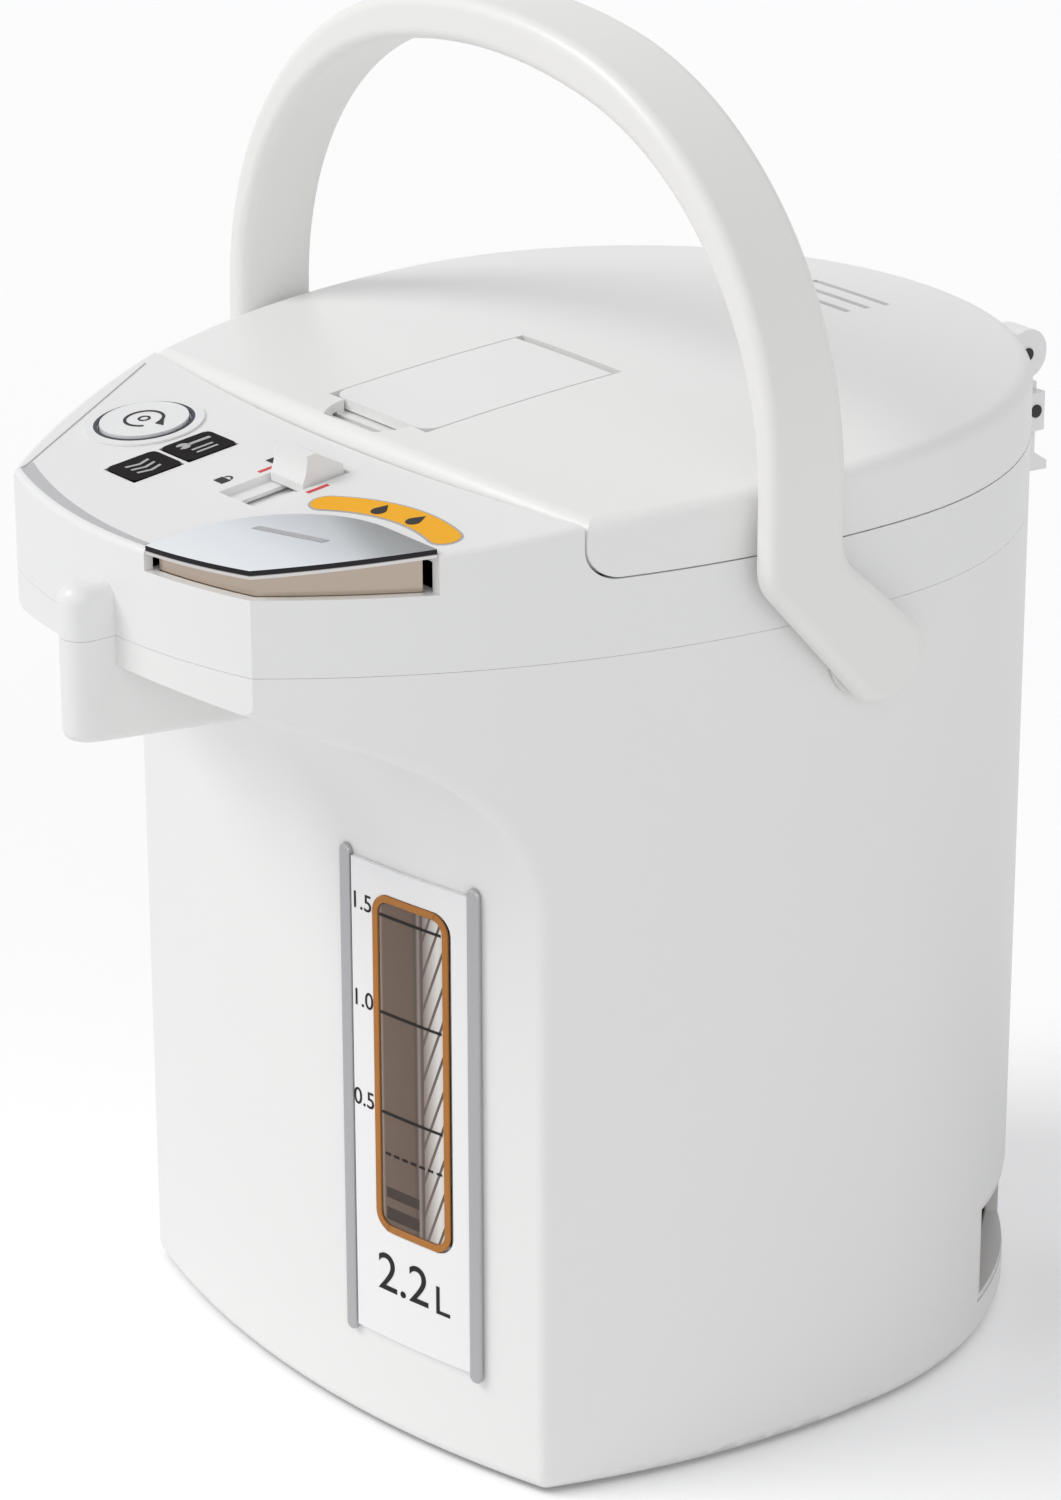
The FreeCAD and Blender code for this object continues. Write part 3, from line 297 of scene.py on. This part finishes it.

# Water gauge: a glossy white moulded label let into the casing, with two silver painted side trims.
# Its window is smoked plastic in an amber frame, printed with a scale and slanted bars.
# A glass tube stands behind the window; its glints and shade are painted on the window as pale and dark
# upright streaks.

label_white = finish("label_white", (0.90, 0.90, 0.905), 0.15, rough_spread=0.02, tint=0.005)
silver_paint = finish("silver_paint", (0.50, 0.50, 0.51), 0.34, rough_spread=0.02, tint=0.02,
                      Metallic=0.8)
amber_print = finish("amber_print", (0.44, 0.17, 0.03), 0.3, tint=0.12, tint_size=60,
                     Specular_IOR_Level=0.3)
smoked = finish("smoked_window", (0.15, 0.105, 0.08), 0.2, rough_spread=0.03, Specular_IOR_Level=0.25)
smoked_tree = smoked.node_tree
across = smoked_tree.nodes.new("ShaderNodeSeparateXYZ")
window_left, window_right = 36.2, 58.6
share = smoked_tree.nodes.new("ShaderNodeMapRange")
share.inputs["From Min"].default_value = window_left * MM
share.inputs["From Max"].default_value = window_right * MM
# Painted highlights and shade of the tube behind: pale and dark upright streaks across the window's
# width, and a paler left edge.
tube_sheen_streaks = smoked_tree.nodes.new("ShaderNodeValToRGB")
tube_sheen_stops = (
    (0.0, (0.40, 0.33, 0.28)), (1.0, (0.13, 0.10, 0.085)), (0.05, (0.165, 0.115, 0.088)),
    (0.50, (0.150, 0.105, 0.080)), (0.56, (0.105, 0.078, 0.063)), (0.60, (0.30, 0.25, 0.22)),
    (0.64, (0.12, 0.092, 0.076)), (0.72, (0.19, 0.15, 0.13)))
ramp = tube_sheen_streaks.color_ramp
for index, (place, colour) in enumerate(tube_sheen_stops):
    stop = ramp.elements[index] if index < 2 else ramp.elements.new(place)
    stop.color = (*colour, 1)
smoked_place = smoked_tree.nodes.new("ShaderNodeTexCoord")
smoked_tree.links.new(smoked_place.outputs["Object"], across.inputs["Vector"])
smoked_tree.links.new(across.outputs["X"], share.inputs["Value"])
smoked_tree.links.new(share.outputs["Result"], tube_sheen_streaks.inputs["Fac"])
smoked_shader = smoked_tree.nodes["Principled BSDF"]
smoked_tree.links.new(tube_sheen_streaks.outputs["Color"], smoked_shader.inputs["Base Color"])
tube_glass = finish("tube_glass", (0.96, 0.98, 0.98), 0.03, rough_spread=0.01, tint=0.01,
                    Transmission_Weight=1.0, IOR=1.47)
print_dark = finish("print_dark", (0.016, 0.014, 0.014), 0.5, tint=0.1, Specular_IOR_Level=0.2)
# This grey serves for print, and on the key for the painted shade of its pressed groove.
grey_print_and_shade = finish("grey_print_and_shade", (0.42, 0.42, 0.43), 0.4, tint=0.05)
print_pale = finish("print_pale", (0.70, 0.67, 0.64), 0.4, tint=0.03)
fade_tree = print_pale.node_tree
fade_place = fade_tree.nodes.new("ShaderNodeTexCoord")
fade_across = fade_tree.nodes.new("ShaderNodeSeparateXYZ")
fade = fade_tree.nodes.new("ShaderNodeMapRange")
fade.inputs["From Min"].default_value = 0.0516
fade.inputs["From Max"].default_value = 0.0562
fade_mix = fade_tree.nodes.new("ShaderNodeMix")
fade_mix.data_type = "RGBA"
fade_mix.inputs["A"].default_value = (0.26, 0.21, 0.18, 1)
fade_mix.inputs["B"].default_value = (0.74, 0.71, 0.68, 1)
fade_tree.links.new(fade_place.outputs["Object"], fade_across.inputs["Vector"])
fade_tree.links.new(fade_across.outputs["X"], fade.inputs["Value"])
fade_tree.links.new(fade.outputs["Result"], fade_mix.inputs["Factor"])
fade_tree.links.new(fade_mix.outputs["Result"], fade_tree.nodes["Principled BSDF"].inputs["Base Color"])
dress(label_white, "gauge_plate")
dress(smoked, "gauge_window")
dress(tube_glass, "gauge_tube")

front_axis_y = 204.2
face_radius = 290.6


def keep(name, bm, material, body):
    """Turn a finished bmesh into a piece that rides on a body."""
    bmesh.ops.recalc_face_normals(bm, faces=bm.faces)
    mesh = bpy.data.meshes.new(name)
    bm.to_mesh(mesh)
    bm.free()
    mesh.materials.append(material)
    thing = bpy.data.objects.new(name, mesh)
    bpy.context.scene.collection.objects.link(thing)
    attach(thing, body)
    return thing


def on_front(bm, radius):
    """Bend a flat print, drawn in millimetres with y as its depth, round the front face."""
    for vert in bm.verts:
        turn = vert.co.x / face_radius
        reach = radius - vert.co.y
        y = front_axis_y - reach * math.cos(turn)
        vert.co = Vector((reach * math.sin(turn), y, vert.co.z)) * MM


def bar(bm, x, z, width, height, depth=0.12, rise=0.0, steps=6):
    """Add a thin flat bar with its middle at x, z, whose right end is higher by rise."""
    made = bmesh.ops.create_grid(bm, x_segments=steps, y_segments=1, size=0.5)
    for vert in made["verts"]:
        across, up = vert.co.x, vert.co.y
        vert.co = Vector((x + across * width, 0, z + up * height + across * rise))
    faces = list({face for vert in made["verts"] for face in vert.link_faces})
    grown = bmesh.ops.extrude_face_region(bm, geom=faces)
    moved = [item for item in grown["geom"] if isinstance(item, bmesh.types.BMVert)]
    bmesh.ops.translate(bm, verts=moved, vec=(0, -depth, 0))


def words(text, size, across, up, depth=0.12):
    """A bmesh of plain lettering, drawn in millimetres as x across and z up."""
    curve = bpy.data.curves.new("lettering", "FONT")
    curve.body = text
    curve.size = size
    curve.align_x = "CENTER"
    curve.align_y = "CENTER"
    curve.extrude = depth / 2
    thing = bpy.data.objects.new("lettering", curve)
    bpy.context.scene.collection.objects.link(thing)
    mesh = bpy.data.meshes.new_from_object(thing.evaluated_get(bpy.context.evaluated_depsgraph_get()))
    bpy.data.objects.remove(thing)
    bm = bmesh.new()
    bm.from_mesh(mesh)
    upright = Matrix.Rotation(math.radians(90), 3, "X")
    bmesh.ops.rotate(bm, verts=bm.verts, cent=(0, 0, 0), matrix=upright)
    bmesh.ops.translate(bm, verts=bm.verts, vec=(across, -depth / 2, up))
    return bm


scale_marks = {"1.5": 150.0, "1.0": 123.0, "0.5": 95.0}
for text, height in scale_marks.items():
    figure = words(text, 6.6, 30.1, height + 1.2)
    on_front(figure, face_radius)
    keep("gauge_figure_" + text.replace(".", "_"), figure, print_dark, "casing")
capacity_marks = (("gauge_capacity", "2.2", 15.5, 43.5, 48.5), ("gauge_litres", "L", 11.5, 57.2, 46.9))
for name, text, size, left, up in capacity_marks:
    figure = words(text, size, left, up)
    on_front(figure, face_radius)
    keep(name, figure, print_dark, "casing")


def rounded_panel(left, low, right, high, corner, cuts=6):
    """A flat panel in millimetres, with round corners and upright cuts to bend at."""
    bm = bmesh.new()
    made = bmesh.ops.create_grid(bm, x_segments=1, y_segments=1, size=0.5)
    for vert in made["verts"]:
        x = (left + right) / 2 + vert.co.x * (right - left)
        z = (low + high) / 2 + vert.co.y * (high - low)
        vert.co = Vector((x, 0, z))
    bmesh.ops.bevel(bm, geom=bm.verts[:], offset=corner, offset_type="OFFSET", affect="VERTICES",
                    segments=8, profile=0.5, material=-1)
    for cut in range(1, cuts):
        bmesh.ops.bisect_plane(bm, geom=bm.verts[:] + bm.edges[:] + bm.faces[:], plane_no=(1, 0, 0),
                               plane_co=(left + (right - left) * cut / cuts, 0, 0))
    return bm


def thicken(bm, depth, soften=0.0):
    """Push a flat panel out by depth, towards the front, and soften its front edge."""
    grown = bmesh.ops.extrude_face_region(bm, geom=bm.faces[:])
    front = [item for item in grown["geom"] if isinstance(item, bmesh.types.BMVert)]
    bmesh.ops.translate(bm, verts=front, vec=(0, -depth, 0))
    if soften:
        bm.normal_update()
        rim = [edge for edge in bm.edges if all(vert in front for vert in edge.verts)
               and any(abs(face.normal.y) < 0.5 for face in edge.link_faces)]
        bmesh.ops.bevel(bm, geom=rim, offset=soften, offset_type="OFFSET", affect="EDGES", segments=3,
                        profile=0.5, material=-1)


ring_width = 1.9
frame_panel = rounded_panel(34.2, 61.2, 60.3, 155.8, 5.5)
rim_faces = bmesh.ops.inset_region(frame_panel, faces=frame_panel.faces[:], thickness=ring_width,
                                   use_even_offset=True, use_boundary=True)["faces"]
inner_faces = [face for face in frame_panel.faces if face not in rim_faces]
bmesh.ops.delete(frame_panel, geom=inner_faces, context="FACES")
thicken(frame_panel, 0.5, 0.15)
on_front(frame_panel, 290.4)
window_frame = keep("window_frame", frame_panel, amber_print, "casing")
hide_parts("window_ring")

trim_high = 165.5
for side, left, right in (("left", 22.0, 25.8), ("right", 66.4, 70.2)):
    trim = rounded_panel(left, 27.5, right, trim_high, 1.85, 2)
    thicken(trim, 1.3, 0.6)
    on_front(trim, 289.7)
    piece = keep("gauge_trim_" + side, trim, silver_paint, "casing")
    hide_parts("gauge_trims")

window_face = 290.38
window_low, window_high = 63.4, 153.6
scale_lines = bmesh.new()
for height in scale_marks.values():
    bar(scale_lines, 47.2, height, 21.2, 0.7)
for dash in range(7):
    bar(scale_lines, 38.6 + dash * 3.0, 83.5, 1.8, 0.6, steps=1)
on_front(scale_lines, window_face + 0.1)
keep("gauge_scale", scale_lines, print_dark, "casing")

slant_rows, slant_pitch, slant_start = 13, 9.6, 55
slants = bmesh.new()
for row in range(slant_rows):
    bar(slants, 54.9, slant_start + row * slant_pitch, 6.6, 7.4, depth=0.08, rise=17.0, steps=3)
for height, side in ((window_low, -1), (window_high, 1)):
    bmesh.ops.bisect_plane(slants, geom=slants.verts[:] + slants.edges[:] + slants.faces[:],
                           plane_co=(0, 0, height), plane_no=(0, 0, side), clear_outer=True)
bmesh.ops.holes_fill(slants, edges=[edge for edge in slants.edges if edge.is_boundary])
on_front(slants, window_face)
keep("gauge_slants", slants, print_pale, "casing")
bands = bmesh.new()
for height, tall in ((66.5, 3.6), (72.5, 3.0)):
    bar(bands, 43.6, height, 11.6, tall, depth=0.05, steps=3)
on_front(bands, window_face)
band_brown = finish("band_brown", (0.06, 0.045, 0.038), 0.4, tint=0.1, Specular_IOR_Level=0.2)
keep("gauge_bands", bands, band_brown, "casing")

# Controls on the deck: a white start button in a dark ring, two dark lamp lenses, and the lock slider.
# All are moulded plastic, the lenses pressed in flush and the slider held by a keeper under the deck.
# The prints beside them are an orange strip, two plain padlocks and a silver edge stripe.

ring_colour = (0.012, 0.015, 0.035)
ring_blue = finish("ring_blue", ring_colour, 0.4, tint=0.2, Specular_IOR_Level=0.25)
button_white = finish("button_white", (0.85, 0.855, 0.86), 0.28, rough_spread=0.015, tint=0.008,
                      grain=0.02)
lens_black = finish("lens_black", (0.010, 0.008, 0.009), 0.5, rough_spread=0.02, tint=0.1,
                    Specular_IOR_Level=0.03)
orange_print = finish("orange_print", (0.97, 0.47, 0.03), 0.5, tint=0.02, tint_size=90,
                      Specular_IOR_Level=0.05)
red_print = finish("red_print", (0.70, 0.03, 0.03), 0.4, tint=0.08)
button_x, button_y = -50.0, -119.5
ring_dark_end, ring_white_start = 0.0130, 0.0132
pot_axis_y = 27.0
ring_tree = ring_blue.node_tree
ring_place = ring_tree.nodes.new("ShaderNodeTexCoord")
ring_level = ring_tree.nodes.new("ShaderNodeVectorMath")
ring_level.operation = "MULTIPLY"
ring_level.inputs[1].default_value = (1, 1, 0)
from_middle = ring_tree.nodes.new("ShaderNodeVectorMath")
from_middle.operation = "DISTANCE"
from_middle.inputs[1].default_value = (button_x * MM, (button_y + pot_axis_y) * MM, 0)
ring_edge = ring_tree.nodes.new("ShaderNodeMapRange")
ring_edge.inputs["From Min"].default_value = ring_dark_end
ring_edge.inputs["From Max"].default_value = ring_white_start
ring_tone = ring_tree.nodes.new("ShaderNodeMix")
ring_tone.data_type = "RGBA"
ring_tone.inputs["A"].default_value = (*ring_colour, 1)
ring_tone.inputs["B"].default_value = (*deck_colour, 1)
ring_tree.links.new(ring_place.outputs["Object"], ring_level.inputs[0])
ring_tree.links.new(ring_level.outputs["Vector"], from_middle.inputs[0])
ring_tree.links.new(from_middle.outputs["Value"], ring_edge.inputs["Value"])
ring_tree.links.new(ring_edge.outputs["Result"], ring_tone.inputs["Factor"])
ring_shader = ring_tree.nodes["Principled BSDF"]
ring_tree.links.new(ring_tone.outputs["Result"], ring_shader.inputs["Base Color"])
dress(ring_blue, "button_ring")
dress(button_white, "reboil_button")
dress(lens_black, "indicator_lenses")
dress(lever_white, "lock_slider")

deck_front_y = -131.6
deck_front_z = 255.2
deck_slope = math.radians(6.45)


def on_deck(bm, lift=0.0):
    """Lay a flat print on the sloping deck; it is drawn in millimetres about the pot's axis."""
    for vert in bm.verts:
        y = vert.co.y + pot_axis_y
        deck_z = deck_front_z + (y - deck_front_y) * math.tan(deck_slope)
        vert.co = Vector((vert.co.x, y, deck_z + vert.co.z + lift)) * MM


def strip(bm, points, depth=0.12):
    """Add a thin flat polygon through points, given anticlockwise."""
    face = bm.faces.new([bm.verts.new((x, y, 0)) for x, y in points])
    grown = bmesh.ops.extrude_face_region(bm, geom=[face])
    moved = [item for item in grown["geom"] if isinstance(item, bmesh.types.BMVert)]
    bmesh.ops.translate(bm, verts=moved, vec=(0, 0, depth))


def arc_band(bm, x, y, inner, outer, start, end, steps=24, round_ends=True):
    """Add a flat band between two radii and two angles, with half-round ends."""
    turns = [math.radians(start + (end - start) * step / steps) for step in range(steps + 1)]
    middle, half = (inner + outer) / 2, (outer - inner) / 2
    ring = [(x + outer * math.cos(turn), y + outer * math.sin(turn)) for turn in turns]
    if round_ends:
        cap = [turns[-1] + math.pi * step / 8 for step in range(1, 8)]
        ring += [(x + middle * math.cos(turns[-1]) + half * math.cos(turn),
                  y + middle * math.sin(turns[-1]) + half * math.sin(turn)) for turn in cap]
    ring += [(x + inner * math.cos(turn), y + inner * math.sin(turn)) for turn in reversed(turns)]
    if round_ends:
        cap = [turns[0] + math.pi + math.pi * step / 8 for step in range(1, 8)]
        ring += [(x + middle * math.cos(turns[0]) + half * math.cos(turn),
                  y + middle * math.sin(turns[0]) + half * math.sin(turn)) for turn in cap]
    strip(bm, ring)


key_centre = (56.3, -159.5)
pill_start, pill_end = 73, 124
pill_edge = bmesh.new()
arc_band(pill_edge, *key_centre, 42.4, 51.4, pill_start, pill_end)
on_deck(pill_edge)
keep("dispense_strip_edge", pill_edge, grey_print_and_shade, "casing")
pill = bmesh.new()
arc_band(pill, *key_centre, 43.0, 50.8, pill_start, pill_end)
on_deck(pill, 0.08)
keep("dispense_strip", pill, orange_print, "casing")

stripe = bmesh.new()
stripe_far, stripe_near = [], []
for step in range(25):
    x = -50.5 + step * (66.5 / 24)
    edge_y = -12.3 - math.sqrt(155 ** 2 - x * x) + 1.8
    stripe_near.append((x, edge_y))
    stripe_far.append((x, edge_y + 4.0 - 2.6 * step / 24))
strip(stripe, stripe_near + stripe_far[::-1])
on_deck(stripe)
keep("deck_stripe", stripe, silver_paint, "casing")

for name, x, y, closed in (("unlocked", -2.4, -112.5, False), ("locked", -2.4, -128.5, True)):
    lock = bmesh.new()
    strip(lock, [(x - 1.8, y - 1.6), (x + 1.8, y - 1.6), (x + 1.8, y + 1.1), (x - 1.8, y + 1.1)])
    lean = 0 if closed else 1.2
    arc_band(lock, x + lean, y + 1.4, 0.9, 1.4, 0, 180, 12, round_ends=False)
    on_deck(lock)
    keep("padlock_" + name, lock, print_dark, "casing")
for index, (x, y) in enumerate(((21.0, -116.5), (0.6, -116.5))):
    mark = bmesh.new()
    strip(mark, [(x - 0.6, y - 3.2), (x + 0.6, y - 3.2), (x + 0.6, y + 3.2), (x - 0.6, y + 3.2)])
    on_deck(mark)
    keep(f"slot_mark_{index}", mark, red_print, "casing")

button_mark = bmesh.new()
arc_band(button_mark, button_x, button_y, 4.6, 5.4, 30, 320, 32)
strip(button_mark, [(-44.9, -119.6), (-42.2, -118.9), (-46.6, -115.6)])
arc_band(button_mark, button_x, button_y, 1.1, 1.7, -80, 260, 16)
on_deck(button_mark, 1.2)
keep("button_mark", button_mark, print_dark, "button")
lens_marks = bmesh.new()
strip(lens_marks, [(-28.6, -121.0), (-27.4, -121.0), (-27.4, -114.4), (-28.6, -114.4)])
arc_band(lens_marks, -28.0, -122.6, 0.0, 1.9, -60, 240, 16, round_ends=False)
for across in (-24.6, -22.4):
    strip(lens_marks, [(across, -122.6), (across + 0.8, -122.6), (across + 0.8, -116.2),
                       (across, -116.2)])
for across in (-28.6, -25.9, -23.2):
    strip(lens_marks, [(across, -140.2), (across + 0.9, -140.2), (across + 2.0, -136.6),
                       (across + 0.9, -133.2), (across, -133.2), (across + 1.1, -136.6)])
on_deck(lens_marks, 0.3)
keep("lens_marks", lens_marks, grey_print_and_shade, "casing")
drops = bmesh.new()
drop_radius, drop_tip, drop_reach = 2.0, 3.2, 46.3
drop_turns = [math.radians(step) for step in range(150, 391, 20)]
drop = [(drop_radius * math.cos(turn), drop_radius * math.sin(turn) - 0.6) for turn in drop_turns]
for lean in (15, 0):
    out = Matrix.Rotation(math.radians(lean), 2)
    middle = Vector(key_centre) + out @ Vector((0, drop_reach))
    strip(drops, [tuple(middle + out @ Vector(point)) for point in drop + [(0, drop_tip)]])
on_deck(drops, 0.16)
keep("dispense_drops", drops, print_dark, "casing")
panel_edge = bmesh.new()
strip(panel_edge, [(-49.3, -156.6), (-84.6, -95.2), (-85.0, -95.4), (-49.7, -156.8)])
on_deck(panel_edge)
keep("deck_panel_edge", panel_edge, grey_print_and_shade, "casing")

# Dispensing key: a thin plate over a skirt, both moulded and chrome plated, and snapped together.
# Their reflections are painted on as tones that run across them, the plate's rounded edge takes a
# painted reflection, dark over bright, and the shade of one pressed groove is painted on its top.


def plating(name, stops, axis, start, end, side_reflection, rough):
    """Bright plating with painted reflections: its tone runs along an axis, and its upright sides take
    side_reflection.
    """
    material = finish(name, (0.5, 0.5, 0.5), rough, rough_spread=0.02, Metallic=1.0)
    tree = material.node_tree
    place = tree.nodes.new("ShaderNodeTexCoord")
    parts = tree.nodes.new("ShaderNodeSeparateXYZ")
    run = tree.nodes.new("ShaderNodeMapRange")
    run.inputs["From Min"].default_value = start
    run.inputs["From Max"].default_value = end
    tones = tree.nodes.new("ShaderNodeValToRGB")
    for index, (share, colour) in enumerate(stops):
        stop = tones.color_ramp.elements[index] if index < 2 else tones.color_ramp.elements.new(share)
        stop.color = (*colour, 1)
    facing = tree.nodes.new("ShaderNodeSeparateXYZ")
    upright = tree.nodes.new("ShaderNodeMapRange")
    upright.inputs["From Min"].default_value = 0.45
    upright.inputs["From Max"].default_value = 0.95
    mix = tree.nodes.new("ShaderNodeMix")
    mix.name = "sides"
    mix.data_type = "RGBA"
    mix.inputs["A"].default_value = (*side_reflection, 1)
    tree.links.new(place.outputs["Object"], parts.inputs["Vector"])
    tree.links.new(parts.outputs[axis], run.inputs["Value"])
    tree.links.new(run.outputs["Result"], tones.inputs["Fac"])
    tree.links.new(place.outputs["Normal"], facing.inputs["Vector"])
    tree.links.new(facing.outputs["Z"], upright.inputs["Value"])
    tree.links.new(upright.outputs["Result"], mix.inputs["Factor"])
    tree.links.new(tones.outputs["Color"], mix.inputs["B"])
    tree.links.new(mix.outputs["Result"], tree.nodes["Principled BSDF"].inputs["Base Color"])
    return material


# Painted reflections: the plate runs from bright at its front to dark at its back, the skirt from pale
# to brown across it.
plate_reflection_stops = ((0.0, (0.80, 0.82, 0.84)), (1.0, (0.42, 0.44, 0.46)), (0.4, (0.72, 0.75, 0.78)))
plate_chrome_reflection = plating("plate_chrome_reflection", plate_reflection_stops, "Y", -0.139, -0.0945, (0.13, 0.12, 0.12), 0.12)
skirt_reflection_stops = ((0.0, (0.80, 0.77, 0.74)), (1.0, (0.30, 0.235, 0.19)), (0.45, (0.62, 0.52, 0.43)))
skirt_painted_reflection = plating("skirt_painted_reflection", skirt_reflection_stops, "X", 0.020, 0.074, (0.55, 0.46, 0.38), 0.16)
# Painted reflection on the plate's rounded edge: pale below a set height over the deck and near black
# above it.
edge_bright_end, edge_dark_start = 0.26955, 0.26985
plate_tree = plate_chrome_reflection.node_tree
plate_place = plate_tree.nodes.new("ShaderNodeTexCoord")
over_deck = plate_tree.nodes.new("ShaderNodeVectorMath")
over_deck.operation = "DOT_PRODUCT"
over_deck.inputs[1].default_value = (0, -math.tan(deck_slope), 1)
edge_reflection_mask = plate_tree.nodes.new("ShaderNodeMapRange")
edge_reflection_mask.inputs["From Min"].default_value = edge_bright_end
edge_reflection_mask.inputs["From Max"].default_value = edge_dark_start
edge_reflection_tone = plate_tree.nodes.new("ShaderNodeMix")
edge_reflection_tone.data_type = "RGBA"
edge_reflection_tone.inputs["A"].default_value = (0.78, 0.76, 0.74, 1)
edge_reflection_tone.inputs["B"].default_value = (0.035, 0.033, 0.036, 1)
plate_tree.links.new(plate_place.outputs["Object"], over_deck.inputs[0])
plate_tree.links.new(over_deck.outputs["Value"], edge_reflection_mask.inputs["Value"])
plate_tree.links.new(edge_reflection_mask.outputs["Result"], edge_reflection_tone.inputs["Factor"])
plate_tree.links.new(edge_reflection_tone.outputs["Result"], plate_tree.nodes["sides"].inputs["A"])
dress(plate_chrome_reflection, "key_plate")
dress(skirt_painted_reflection, "key_skirt")
# Painted shade: the pressed groove on the key's top is drawn as a flat grey strip.
groove_shade = bmesh.new()
strip(groove_shade, [(30.2, -143.0), (50.7, -137.0), (51.2, -135.0), (30.7, -141.0)])
on_deck(groove_shade, 1.0)
keep("key_groove_shade", groove_shade, grey_print_and_shade, "key")
